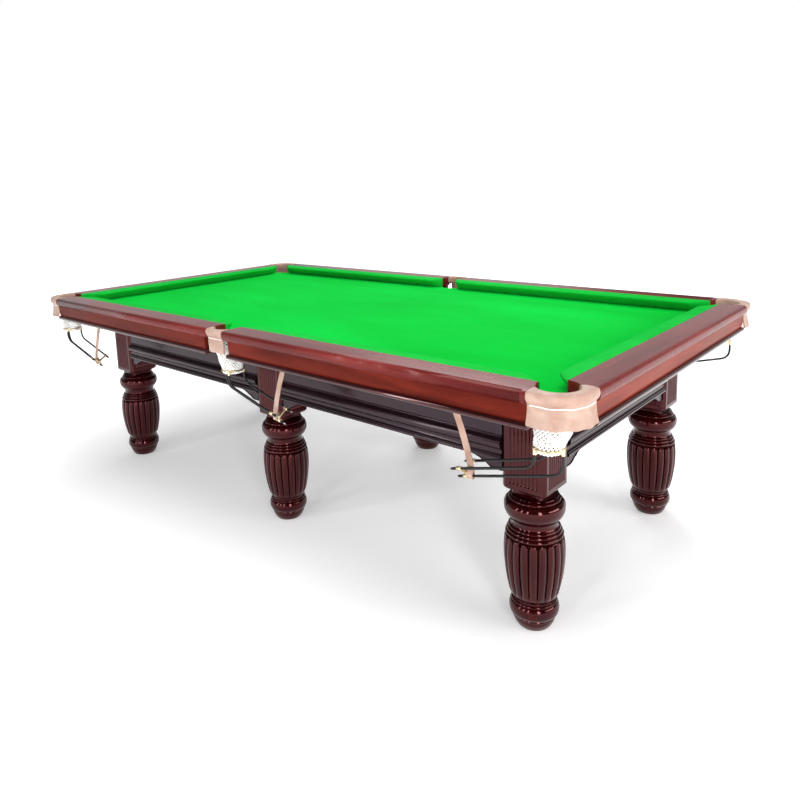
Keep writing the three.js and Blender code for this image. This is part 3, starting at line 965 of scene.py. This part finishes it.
TOP = 850
HALF_LENGTH = 1425
HALF_WIDTH = 790
WOOD_WIDTH = 95
RAIL_SEAT = 806.3
RAIL_BOTTOM = 747
NOSE_END_RADIUS = 11
CORNER_INSET = 93
MIDDLE_INSET = 68
LEATHER_REACH = 135
MIDDLE_LEATHER_HALF = 45
FACIA_GAP = 27
BEAD_GAP = 20

nose_section = moulded(
    [
        (14, TOP),
        (8, TOP - 0.8),
        (3, TOP - 4),
        (0.5, TOP - 10),
        (0, TOP - 18),
        (1, TOP - 27),
        (4.5, TOP - 33),
        (10, TOP - 36.5),
        (16, TOP - 37.5),
        (16, TOP - 37.5),
        (37, TOP - 37.5),
        (37, TOP - 37.5),
        (37, RAIL_SEAT),
    ],
    3,
)
facia_section = moulded(
    [
        (10.5, TOP - 36),
        (10.5, TOP - 36),
        (11, TOP - 43),
        (13.5, RAIL_BOTTOM + 26),
        (16, RAIL_BOTTOM + 17),
        (16, RAIL_BOTTOM + 17),
        (16, RAIL_BOTTOM + 10),
        (16, RAIL_BOTTOM + 10),
        (36.5, RAIL_BOTTOM + 4),
        (36.5, RAIL_BOTTOM + 4),
        (36.5, TOP - 36),
    ],
    2,
)
bead_section = moulded(
    [
        (15, RAIL_BOTTOM + 16.5),
        (15, RAIL_BOTTOM + 16.5),
        (10, RAIL_BOTTOM + 16.2),
        (7, RAIL_BOTTOM + 13),
        (6, RAIL_BOTTOM + 8.5),
        (7, RAIL_BOTTOM + 4),
        (10, RAIL_BOTTOM + 0.8),
        (15, RAIL_BOTTOM),
        (37, RAIL_BOTTOM),
        (37, RAIL_BOTTOM),
        (37, RAIL_BOTTOM + 16),
    ],
    3,
)


def inner_edge(x, radius, inset, half=None):
    """How far in from the outer face the wood or leather reaches, where a pocket is cut in it."""
    chord = radius**2 - x**2
    return inset - math.sqrt(chord) if chord > 0 else WOOD_WIDTH


def rounded_end(points, depth, radius, past):
    """Draws a rail's nose in as it rounds off towards its end, by how much is left of it."""
    left = min(depth, radius)
    shrink = radius - math.sqrt(max(0.0, radius**2 - (radius - left) ** 2))
    drawn = []
    for inward, z in points:
        share = max(0.0, 1 - inward / past)
        middle = TOP - 18
        drawn.append((inward + shrink * share, z + (middle - z) * shrink / 40 * share))
    return drawn


def rail_cap(bm, face, stations, radius, inset, ends):
    """The flat-topped board. stations are (distance along, distance from the pocket's middle or None)."""
    loops = []
    for x, from_pocket, left in stations:
        inner = WOOD_WIDTH if from_pocket is None else inner_edge(from_pocket, radius, inset)
        nose = rounded_end(nose_section, left, NOSE_END_RADIUS, 38)
        points = [*nose, (inner, RAIL_SEAT), (inner, TOP)]
        loops.append([(x, inward - face, z) for inward, z in points])
    loft(bm, loops)


def long_rail():
    """Right-hand rail of the front side, from the middle pocket to the corner."""
    cap = bmesh.new()
    start = MIDDLE_LEATHER_HALF + FIT
    stop = HALF_LENGTH - LEATHER_REACH
    radius = MIDDLE_POCKET_RADIUS + FIT
    near = [(start + d, start + d, d) for d in (0, 0.6, 1.8, 3.4, 4.8)]
    near += [(radius + 0.2, None, radius + 0.2 - start), (start + 7.5, None, 7.5), (start + 11, None, 99)]
    rail_cap(cap, HALF_WIDTH, near + [(600, None, 99), (POCKET_X - 57, None, 99)], radius, MIDDLE_INSET, 0)
    loops = []
    for x in (POCKET_X - 57, POCKET_X - 55.5, POCKET_X - 53, POCKET_X - 49, POCKET_X - 45, stop):
        inner = min(WOOD_WIDTH, inner_edge(POCKET_X - x, POCKET_RADIUS + FIT, CORNER_INSET))
        points = [*nose_section, (inner, RAIL_SEAT), (inner, TOP)]
        loops.append([(x, inward - HALF_WIDTH, z) for inward, z in points])
    loft(cap, loops)
    skirt = bmesh.new()
    bar(skirt, facia_section, HALF_WIDTH, start + FACIA_GAP, stop)
    bead = bmesh.new()
    bar(bead, bead_section, HALF_WIDTH, start + BEAD_GAP, stop)
    return cap, skirt, bead


def end_rail():
    """Rail across an end, drawn along X on the -Y side."""
    cap = bmesh.new()
    stop = HALF_WIDTH - LEATHER_REACH
    pocket = HALF_WIDTH - CORNER_INSET
    half = (pocket - 57, pocket - 55.5, pocket - 53, pocket - 49, pocket - 45, stop)
    loops = []
    for x in [-d for d in reversed(half)] + [0] + list(half):
        inner = min(WOOD_WIDTH, inner_edge(pocket - abs(x), POCKET_RADIUS + FIT, CORNER_INSET))
        points = [*nose_section, (inner, RAIL_SEAT), (inner, TOP)]
        loops.append([(x, inward - HALF_LENGTH, z) for inward, z in points])
    loft(cap, loops)
    skirt = bmesh.new()
    bar(skirt, facia_section, HALF_LENGTH, -stop, stop)
    bead = bmesh.new()
    bar(bead, bead_section, HALF_LENGTH, -stop, stop)
    return cap, skirt, bead


for around, right, middle, left, end in SIDES:
    for place, mirror, turn, parts, finishes in (
        (right, False, 0, long_rail(), (rail_wood, facia_wood, bead_wood)),
        (left, True, 0, long_rail(), (rail_wood, facia_wood, bead_wood)),
        (end, False, 90, end_rail(), (rail_wood_end, facia_wood_end, bead_wood_end)),
    ):
        cap, skirt, bead = (moved(part, turn=turn, mirror=mirror, around=around) for part in parts)
        for part in parts:
            part.free()
        board = piece(f"rail_board_{place}", cap, finishes[0], "table", [f"rail_{place}"], 30, 0.7)
        piece(f"rail_facia_{place}", skirt, finishes[1], "table", sharp=40)
        piece(f"rail_bead_{place}", bead, finishes[2], "table", sharp=40)

# ---------------------------------------------------------------------------------------------
# Cushions: moulded rubber strips with an undercut nose, covered in the same wool and glued to the
# inner edge of the rails; the wool is drawn in a darker copy of the bed's colours, as painted shade. They curve away
# into the pockets, tightly at the corners.

# Painted shade: the cushions' wool is a darker copy of the bed's wool colours.
cushion_wool = baize("cushion_wool", (0.002, 0.34, 0.026), (0.010, 0.45, 0.045))

cushion_section = moulded(
    [
        (0, TOP),
        (0, TOP),
        (0.2, TOP),
        (0.55, TOP - 0.9),
        (0.86, TOP - 2.6),
        (0.96, TOP - 4.2),
        (1.0, TOP - 8),
        (0.975, TOP - 12),
        (0.9, TOP - 17),
        (0.62, TOP - 32),
        (0.43, RAIL_SEAT),
        (0.43, RAIL_SEAT),
        (0, RAIL_SEAT),
        (0, RAIL_SEAT),
        (0, TOP - 6),
    ],
    2,
)
CUSHION_DEPTH = 60
JAW_MOUTH = 75
JAW_RADIUS = 35
JAW_ANGLE = 50
MIDDLE_JAW_RADIUS = 65
MIDDLE_JAW_THROAT = 94


def corner_jaw(jaw_start, nose, wood):
    """Plan of a cushion's nose as it turns back to the wood at a corner pocket."""
    points = []
    for step in range(9):
        a = math.radians(90 - (90 - JAW_ANGLE) * step / 8)
        points.append((jaw_start + JAW_RADIUS * math.cos(a), nose - JAW_RADIUS + JAW_RADIUS * math.sin(a)))
    x, y = points[-1]
    run = (y - wood) / math.cos(math.radians(JAW_ANGLE))
    for share in (0.3, 0.6, 0.85, 1):
        points.append(
            (
                x + run * share * math.sin(math.radians(JAW_ANGLE)),
                y - run * share * math.cos(math.radians(JAW_ANGLE)) + 0.6 * share,
            )
        )
    return points


def cushion(plan, wood):
    bm = bmesh.new()
    loft(bm, [[(x, wood + share * (y - wood), z) for share, z in cushion_section] for x, y in plan])
    return bm


long_wood = -(HALF_WIDTH - WOOD_WIDTH - FIT)
end_wood = -(HALF_LENGTH - WOOD_WIDTH - FIT)
middle_x = MIDDLE_JAW_THROAT / 2 + MIDDLE_JAW_RADIUS
middle_y = -NOSE_Y - MIDDLE_JAW_RADIUS
long_plan = []
for step in range(15):
    a = math.radians(5 + 85 * step / 14)
    long_plan.append((middle_x - MIDDLE_JAW_RADIUS * math.cos(a), middle_y + MIDDLE_JAW_RADIUS * math.sin(a)))
long_plan += [(x, -NOSE_Y) for x in (300, 600, 900)] + corner_jaw(NOSE_X - JAW_MOUTH, -NOSE_Y, long_wood)
end_half = corner_jaw(NOSE_Y - JAW_MOUTH, -NOSE_X, end_wood)
end_plan = [(-x, y) for x, y in reversed(end_half)] + [(0, -NOSE_X)] + end_half
for around, right, middle, left, end in SIDES:
    for place, plan, wood, mirror, turn in (
        (right, long_plan, long_wood, False, 0),
        (left, long_plan, long_wood, True, 0),
        (end, end_plan, end_wood, False, 90),
    ):
        strip = cushion(plan, wood)
        made = piece(
            f"cushion_cover_{place}",
            moved(strip, turn=turn, mirror=mirror, around=around),
            cushion_wool,
            "table",
            [f"cushion_{place}"],
            sharp=50,
        )
        strip.free()

# ---------------------------------------------------------------------------------------------
# Pocket leathers: thick tan hide moulded over a padded top that rounds the pocket, with a rolled
# outer edge, a waist, and a flap that hangs over the net. White piping is sewn along under the roll.


def hide(name, deep, pale):
    """Tan hide with a fine pebbled grain, faint creases and uneven dye."""
    made = Finish(name, specular_ior_level=0.4, sheen_weight=0.08)
    cells = made.node("TexVoronoi", {"feature": "DISTANCE_TO_EDGE"}, Vector=made.place(), Scale=520)
    creases = made.noise(made.place((14, 14, 40)), 1.0, 5, 0.6, 0.8)
    dye = made.noise(made.place(), 14, 4, 0.6)
    tone = made.grade(dye * 0.7 + creases * 0.3, 0.34, 0.62)
    pores = made.grade(cells, 0.0, 0.12)
    return made.paint(
        made.mix(made.grade(pores, 0, 1, 0.18, 0.0), made.ramp(tone, (0, deep), (1, pale)), deep),
        made.grade(dye + pores, 0.4, 1.5, 0.62, 0.44),
        pores * 0.5 + creases,
        0.0008,
        0.35,
    )


tan_hide = hide("tan_hide", (0.30, 0.165, 0.115), (0.46, 0.315, 0.25))
white_thread = Finish("white_thread")
lay = white_thread.noise(white_thread.place((400, 400, 1100)), 1.0, 3)
white_thread.paint(
    white_thread.ramp(lay, (0.3, (0.62, 0.58, 0.52)), (0.65, (0.92, 0.90, 0.86))),
    white_thread.grade(lay, 0.3, 0.7, 0.7, 0.95),
    lay,
    0.0006,
    0.7,
)

HEM = 760
PIPING_HEIGHT = 814
PIPING_RADIUS = 1.7


def leather_section(inner, flare, wave=0.0):
    """Section as (distance in from the rail's outer face, height)."""
    hem = HEM + wave
    crown = min(2.2, inner * 0.05)
    return moulded(
        [
            (inner, TOP - 28),
            (inner, TOP - 28),
            (inner, TOP - 8),
            (inner - 0.8, TOP - 3),
            (inner - 4, TOP - 0.3),
            (inner * 0.55 + 3, TOP + crown),
            (7, TOP + 0.3),
            (2.2, TOP - 3.5),
            (0, TOP - 11),
            (0.6, TOP - 18),
            (4, TOP - 26),
            (8.2, TOP - 31),
            (9.6, TOP - 38),
            (9.4, TOP - 48),
            (9 - flare * 0.45, hem + 20),
            (8 - flare, hem + 3),
            (9 - flare, hem + 0.4),
            (11 - flare, hem),
            (13 - flare, hem + 1.5),
            (14.5 - flare * 0.6, hem + 20),
            (15.5, TOP - 45),
            (17, TOP - 30),
            (17, TOP - 30),
            (inner, TOP - 28),
        ],
        2,
    )[:-1]


def tube(bm, path, radius, sides=10, capped=True):
    """A round bar along a path, without twisting."""
    points = [Vector(p) for p in path]
    loops = []
    across = None
    for i, point in enumerate(points):
        ahead = (points[min(i + 1, len(points) - 1)] - points[max(i - 1, 0)]).normalized()
        if across is None:
            across = ahead.orthogonal().normalized()
        across = (across - ahead * across.dot(ahead)).normalized()
        over = ahead.cross(across)
        r = radius[i] if isinstance(radius, (list, tuple)) else radius
        angles = [2 * math.pi * k / sides for k in range(sides)]
        loops.append([point + (across * math.cos(a) + over * math.sin(a)) * r for a in angles])
    loft(bm, loops, capped=capped)


def corner_stations():
    """(place along, turn) for sections round a corner leather, on the +X -Y corner."""
    straight = LEATHER_REACH - CORNER_INSET - FIT
    arm = [straight * share for share in (1, 0.985, 0.93, 0.8, 0.6, 0.4, 0.2)]
    return (
        [(-x, None) for x in arm]
        + [(0, -90 + 90 * step / 20) for step in range(21)]
        + [(x, 0.5) for x in reversed(arm)]
    )


def on_corner(station, inward, z):
    along, bearing = station
    if bearing is None:
        return Vector((along, inward - CORNER_INSET, z))
    if along:
        return Vector((CORNER_INSET - inward, along, z))
    angle = math.radians(bearing)
    return Vector(((CORNER_INSET - inward) * math.cos(angle), (CORNER_INSET - inward) * math.sin(angle), z))


corner_hide = bmesh.new()
corner_piping = bmesh.new()
loops = []
stations = corner_stations()
for i, station in enumerate(stations):
    inner = inner_edge(station[0], POCKET_RADIUS, CORNER_INSET)
    wave = 1.2 * math.sin(i * 0.9) + 1.0 * math.sin(i * 0.37 + 1)
    tucked = max(0, 3 - min(i, len(stations) - 1 - i)) ** 2 * 0.16
    section = leather_section(inner, 6, wave)
    loops.append([on_corner(station, inward + tucked, z - (tucked if z > TOP - 20 else 0)) for inward, z in section])
loft(corner_hide, loops)
line = [on_corner(s, 9.3, PIPING_HEIGHT + 0.6 * math.sin(i * 0.7)) for i, s in enumerate(stations[3:-3])]
tube(corner_piping, line, PIPING_RADIUS, 8)

middle_hide = bmesh.new()
middle_piping = bmesh.new()
half = MIDDLE_LEATHER_HALF - FIT
loops = []
for step in range(17):
    x = half * math.sin(math.radians(-90 + 180 * step / 16))
    section = leather_section(inner_edge(x, MIDDLE_POCKET_RADIUS, MIDDLE_INSET), -4, 0.8 * math.sin(step))
    tucked = max(0, 3 - min(step, 16 - step)) ** 2 * 0.14
    loops.append([(x, inward + tucked - MIDDLE_INSET, z - (tucked if z > TOP - 20 else 0)) for inward, z in section])
loft(middle_hide, loops)
line = [(half * 0.86 * share, 9.0 - MIDDLE_INSET, PIPING_HEIGHT) for share in (-1, -0.6, -0.2, 0.2, 0.6, 1)]
tube(middle_piping, line, PIPING_RADIUS, 8)

for around, right, middle, left, end in SIDES:
    for place, hide_mesh, piping_mesh, x, y, turn in (
        (right, corner_hide, corner_piping, POCKET_X, -POCKET_Y, 0),
        (left, corner_hide, corner_piping, -POCKET_X, -POCKET_Y, -90),
        (middle, middle_hide, middle_piping, 0, -MIDDLE_POCKET_Y, 0),
    ):
        piece(
            f"leather_{place}",
            moved(hide_mesh, x, y, turn=turn, around=around),
            tan_hide,
            "table",
            [f"pocket_leather_{place}"],
            sharp=60,
        )
        piece(
            f"piping_{place}",
            moved(piping_mesh, x, y, turn=turn, around=around),
            white_thread.material,
            "table",
        )
for mesh in (corner_hide, corner_piping, middle_hide, middle_piping):
    mesh.free()

# ---------------------------------------------------------------------------------------------
# Nets: hand-knotted white cord, hung from the leathers' lower edge and passed through the brass ring
# of the ball runner. The foot is open, so that balls drop through onto the runner.

net_cord = Finish("net_cord")
strands = net_cord.noise(net_cord.place((900, 900, 900)), 1.0, 3)
soil = net_cord.noise(net_cord.place(), 30, 3)
net_cord.paint(
    net_cord.ramp(strands * 0.5 + soil * 0.5, (0.34, (0.66, 0.64, 0.60)), (0.6, (0.93, 0.92, 0.90))),
    net_cord.grade(strands, 0.3, 0.7, 0.75, 0.95),
    strands,
    0.0008,
    0.8,
)

RING_HEIGHT = 689.5
RING_SHIFT = 16
CORD_THICKNESS = 4.2
NET_COLUMNS = 22
NET_ROWS = 8


def knotted_net(profile, lean_x, lean_y):
    """A tube of diamond mesh. profile is (height, radius) from the top down, and the foot leans over."""
    bm = bmesh.new()
    reach = NET_COLUMNS + NET_ROWS + 2
    bmesh.ops.create_grid(bm, x_segments=2 * reach, y_segments=2 * reach, size=reach)
    bmesh.ops.rotate(bm, verts=bm.verts, cent=(0, 0, 0), matrix=Matrix.Rotation(math.radians(45), 3, "Z"))
    bmesh.ops.scale(bm, vec=(math.sqrt(0.5), math.sqrt(0.5), 1), verts=bm.verts)
    for spot, way in (
        ((-NET_COLUMNS / 2, 0, 0), (-1, 0, 0)),
        ((NET_COLUMNS / 2, 0, 0), (1, 0, 0)),
        ((0, -NET_ROWS / 2, 0), (0, -1, 0)),
        ((0, NET_ROWS / 2, 0), (0, 1, 0)),
    ):
        geom = bm.verts[:] + bm.edges[:] + bm.faces[:]
        bmesh.ops.bisect_plane(bm, geom=geom, dist=1e-4, plane_co=spot, plane_no=way, clear_outer=True)
    top, foot = profile[0][0], profile[-1][0]
    for vert in bm.verts:
        share = 0.5 - vert.co.y / NET_ROWS
        angle = 2 * math.pi * vert.co.x / NET_COLUMNS
        z = top + (foot - top) * share
        upper, lower = next(
            (a, b) for a, b in zip(profile, profile[1:]) if z >= b[0] - 1e-6 or b is profile[-1]
        )
        part = (upper[0] - z) / (upper[0] - lower[0])
        radius = upper[1] + (lower[1] - upper[1]) * (3 * part**2 - 2 * part**3)
        over = min(1.0, max(0.0, (top - z) / (top - RING_HEIGHT)))
        sag = 1.2 * math.sin(5 * angle + z * 0.13)
        vert.co = (
            (radius + sag) * math.cos(angle) + lean_x * over,
            (radius + sag) * math.sin(angle) + lean_y * over,
            z,
        )
    bmesh.ops.remove_doubles(bm, verts=bm.verts, dist=0.05)
    knots = [v.co.copy() for v in bm.verts]
    bmesh.ops.recalc_face_normals(bm, faces=bm.faces)
    bmesh.ops.wireframe(
        bm,
        faces=bm.faces[:],
        thickness=CORD_THICKNESS,
        offset=0,
        use_replace=True,
        use_boundary=True,
        use_even_offset=True,
    )
    for knot in knots:
        bmesh.ops.create_icosphere(bm, subdivisions=1, radius=CORD_THICKNESS * 0.8, matrix=Matrix.Translation(knot))
    return bm


corner_profile = [(784, 53), (760, 48.5), (735, 46), (706, 40), (690, 36), (680, 34)]
middle_profile = [(784, 51), (760, 48), (735, 43.5), (706, 38.5), (690, 36), (680, 34)]

# ---------------------------------------------------------------------------------------------
# Ball runners: a brass ring with three sockets, and steel wires in black rubber sleeves that slope
# away under the rail. A cast brass hanger ties the wires, and a nailed leather strap carries it.

brass = Finish("brass", metallic=1.0)
tarnish = brass.noise(brass.place(), 60, 5, 0.6)
rubbed = brass.noise(brass.place((300, 300, 900)), 1.0, 2)
brass.paint(
    brass.ramp(tarnish, (0.3, (0.50, 0.38, 0.20)), (0.6, (0.80, 0.66, 0.42))),
    brass.grade(tarnish + rubbed, 0.7, 1.3, 0.2, 0.42),
    rubbed,
    0.0002,
    0.4,
)
rubber = Finish("black_rubber", specular_ior_level=0.3)
bloom = rubber.noise(rubber.place(), 120, 4, 0.6)
rubber.paint(
    rubber.ramp(bloom, (0.3, (0.003, 0.003, 0.003)), (0.75, (0.011, 0.010, 0.011))),
    rubber.grade(bloom, 0.3, 0.7, 0.32, 0.5),
    bloom,
    0.0004,
    0.4,
)
bright_steel = steel("bright_steel", (0.55, 0.56, 0.58), 0.25)

RING_RADIUS = 40
RING_WIRE = 3.2
SLEEVE_RADIUS = 4
SIDE_WIRE = 34
RUNNER_LENGTH = 285
RUNNER_FALL = math.tan(math.radians(15))
WIRE_BEND = 34
TROUGH_DEPTH = 34
HANGER_X = 254
STRAP_X = 240
STRAP_LEAN = 72
STRAP_TOP = 800
STRAP_WIDTH = 22
STRAP_THICKNESS = 3


def side_wire_height(x):
    return RING_HEIGHT - 45 - x * RUNNER_FALL


def wire_path(x, y, drop, reach):
    """Down from the ring, round a bend, and away along +X."""
    path = [Vector((x, y, RING_HEIGHT - 6)), Vector((x, y, drop + WIRE_BEND))]
    for step in range(1, 9):
        t = step / 8
        path.append(
            Vector(
                (
                    x + WIRE_BEND * t * t,
                    y,
                    drop + WIRE_BEND * (1 - t) ** 2 - WIRE_BEND * RUNNER_FALL * t * t,
                )
            )
        )
    for share in (0.25, 0.5, 0.75, 1):
        out = x + WIRE_BEND + (reach - x - WIRE_BEND) * share
        path.append(Vector((out, y, drop - (out - x) * RUNNER_FALL)))
    return path


side_start = math.sqrt(RING_RADIUS**2 - SIDE_WIRE**2)
wires = [
    (side_start, -SIDE_WIRE, side_wire_height(side_start)),
    (side_start, SIDE_WIRE, side_wire_height(side_start)),
    (-RING_RADIUS, 0, side_wire_height(-RING_RADIUS) - TROUGH_DEPTH),
]
sleeves = bmesh.new()
fittings = bmesh.new()
tips = bmesh.new()
hanger_low = side_wire_height(HANGER_X) - TROUGH_DEPTH
slope_along = Vector((1, 0, -RUNNER_FALL)).normalized()
ring_profile = [
    (RING_RADIUS + RING_WIRE * math.cos(a), RING_HEIGHT + RING_WIRE * math.sin(a))
    for a in (math.radians(45 * k) for k in range(9))
]
lathe(fittings, ring_profile, 48)
for x, y, drop in wires:
    path = wire_path(x, y, drop, RUNNER_LENGTH - 6)
    tube(sleeves, path, SLEEVE_RADIUS, 10)
    tube(tips, [path[-1] - slope_along * 3, path[-1] + slope_along * 5, path[-1] + slope_along * 6.5], [2.6, 2.6, 1.6], 10)
    lathe(
        fittings,
        [
            (0, RING_HEIGHT + 5.5),
            (3.0, RING_HEIGHT + 5.0),
            (4.8, RING_HEIGHT + 3.2),
            (5.4, RING_HEIGHT),
            (5.0, RING_HEIGHT - 4),
            (4.8, RING_HEIGHT - 11),
            (5.6, RING_HEIGHT - 12),
            (5.6, RING_HEIGHT - 14),
            (4.2, RING_HEIGHT - 14.5),
            (0, RING_HEIGHT - 14),
        ],
        16,
        (x, y),
    )
grips = [Vector((HANGER_X, y, z)) for y, z in ((-SIDE_WIRE, hanger_low + TROUGH_DEPTH), (0, hanger_low), (SIDE_WIRE, hanger_low + TROUGH_DEPTH))]
for grip in grips:
    tube(
        fittings,
        [grip + slope_along * d for d in (-8, -7, 7, 8)],
        [5.4, 6.4, 6.4, 5.4],
        14,
    )
centre = Vector((HANGER_X, 0, hanger_low + 13))
for grip in grips:
    tube(fittings, [centre, centre.lerp(grip, 0.3), centre.lerp(grip, 0.7), grip], [5, 4.2, 3.6, 4.6], 10)
bmesh.ops.create_uvsphere(fittings, u_segments=16, v_segments=10, radius=6, matrix=Matrix.Translation(centre))

trough_height = side_wire_height(STRAP_X) - TROUGH_DEPTH
hang = moulded(
    [
        (STRAP_X + STRAP_LEAN + 1, 0, STRAP_TOP),
        (STRAP_X + STRAP_LEAN - 8, -0.5, STRAP_TOP - 22),
        (STRAP_X + 52, -2.5, STRAP_TOP - 66),
        (STRAP_X + 32, -4, STRAP_TOP - 120),
        (STRAP_X + 14, -5.5, STRAP_TOP - 180),
        (STRAP_X + 3, -6.2, STRAP_TOP - 226),
        (STRAP_X, -6.4, trough_height + 4),
        (STRAP_X, -5.2, trough_height - 4.5),
        (STRAP_X, 0, trough_height - 6.6),
        (STRAP_X, 5.2, trough_height - 4),
        (STRAP_X, 6.2, trough_height + 4),
        (STRAP_X + 1, 3.2, trough_height + 14),
        (STRAP_X + 3, -1.6, trough_height + 26),
    ],
    3,
)
strap = bmesh.new()
loops = []
for i, point in enumerate(hang):
    ahead = (hang[min(i + 1, len(hang) - 1)] - hang[max(i - 1, 0)]).normalized()
    wide = Vector((1, 0, 0)) - ahead * ahead.x
    wide = wide.normalized() * STRAP_WIDTH / 2
    thick = ahead.cross(wide).normalized() * STRAP_THICKNESS / 2
    cup = thick * 0.35
    loops.append(
        [
            point - wide - thick * 0.6,
            point - wide * 0.86 - thick,
            point - thick - cup,
            point + wide * 0.86 - thick,
            point + wide - thick * 0.6,
            point + wide + thick * 0.6,
            point + wide * 0.86 + thick,
            point + thick - cup,
            point - wide * 0.86 + thick,
            point - wide + thick * 0.6,
        ]
    )
loft(strap, loops)
nails = bmesh.new()
for x, z in ((STRAP_X + STRAP_LEAN - 5, STRAP_TOP - 7), (STRAP_X + STRAP_LEAN + 3, STRAP_TOP - 8), (STRAP_X + 2, trough_height + 19)):
    nail = Matrix.Translation((x, -1.4 if z > 700 else -7.6, z)) @ Matrix.Scale(0.5, 4, (0, 1, 0))
    bmesh.ops.create_uvsphere(nails, u_segments=12, v_segments=6, radius=3.0, matrix=nail)

for around, right, middle, left, end in SIDES:
    for place, x, y, profile, out, direction in (
        (right, POCKET_X, -POCKET_Y, corner_profile, CORNER_INSET - 77, -1),
        (left, -POCKET_X, -POCKET_Y, corner_profile, CORNER_INSET - 77, 1),
        (middle, 0, -MIDDLE_POCKET_Y, middle_profile, 0, 1),
    ):
        net_mesh = knotted_net(profile, direction * RING_SHIFT, -out)
        net = piece(
            f"knotted_net_{place}",
            moved(net_mesh, x, y, around=around),
            net_cord.material,
            None,
            [f"net_{place}"],
            sharp=180,
            ride=False,
        )
        net_mesh.free()
        ring_x, ring_y = x + direction * RING_SHIFT, y - out
        if around:
            x, y, ring_at = -x, -y, (-ring_x, -ring_y)
        else:
            ring_at = (ring_x, ring_y)
        ring_at[0] * MM
        ring_at[1] * MM
        ring_at[0] * MM
        ring_at[1] * MM
        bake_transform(net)
        turn = 180 if direction < 0 else 0
        for name, mesh, finish, slot, stands_for in (
            ("runner_sleeves", sleeves, rubber.material, "black_sleeve", [f"ball_runner_{place}"]),
            ("runner_brass", fittings, brass.material, "brass", []),
            ("runner_wire_tips", tips, bright_steel, "black_sleeve", []),
            ("hanging_strap", strap, tan_hide, "tan_leather", [f"runner_strap_{place}"]),
            ("strap_nails", nails, brass.material, "brass", []),
        ):
            piece(
                f"{name}_{place}",
                moved(mesh, ring_x, ring_y, turn=turn, around=around),
                finish,
                f"runner_{place}",
                stands_for,
                sharp=50,
            )
for mesh in (sleeves, fittings, tips, strap, nails):
    mesh.free()

# ---------------------------------------------------------------------------------------------
# Rail bolts: zinc-plated hexagon bolts with round washers, driven up through the slates' edges into
# the underside of the rails, three to a rail.

BOLT_INSET = 22
LONG_RAIL_BOLTS = (230, 640, 1050)
END_RAIL_BOLTS = (-360, 0, 360)
slate_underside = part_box("slate_middle")[0][2] / MM
for around, right, _, left, end in SIDES:
    for place, spots in (
        (right, [(x, BOLT_INSET - BED_Y) for x in LONG_RAIL_BOLTS]),
        (left, [(-x, BOLT_INSET - BED_Y) for x in LONG_RAIL_BOLTS]),
        (end, [(BED_X - BOLT_INSET, y) for y in END_RAIL_BOLTS]),
    ):
        bolts = bmesh.new()
        for x, y in spots:
            for sides, low_radius, radius, depth, drop in ((24, 10.5, 11, 2, 1.1), (6, 7.2, 8, 6, 5.1), (16, 3, 6.6, 1, 8.6)):
                bmesh.ops.create_cone(
                    bolts,
                    cap_ends=True,
                    segments=sides,
                    radius1=low_radius,
                    radius2=radius,
                    depth=depth,
                    matrix=Matrix.Translation((x, y, slate_underside - drop)),
                )
        piece(f"rail_bolts_{place}", moved(bolts, around=around), foot_steel, "table")
        bolts.free()
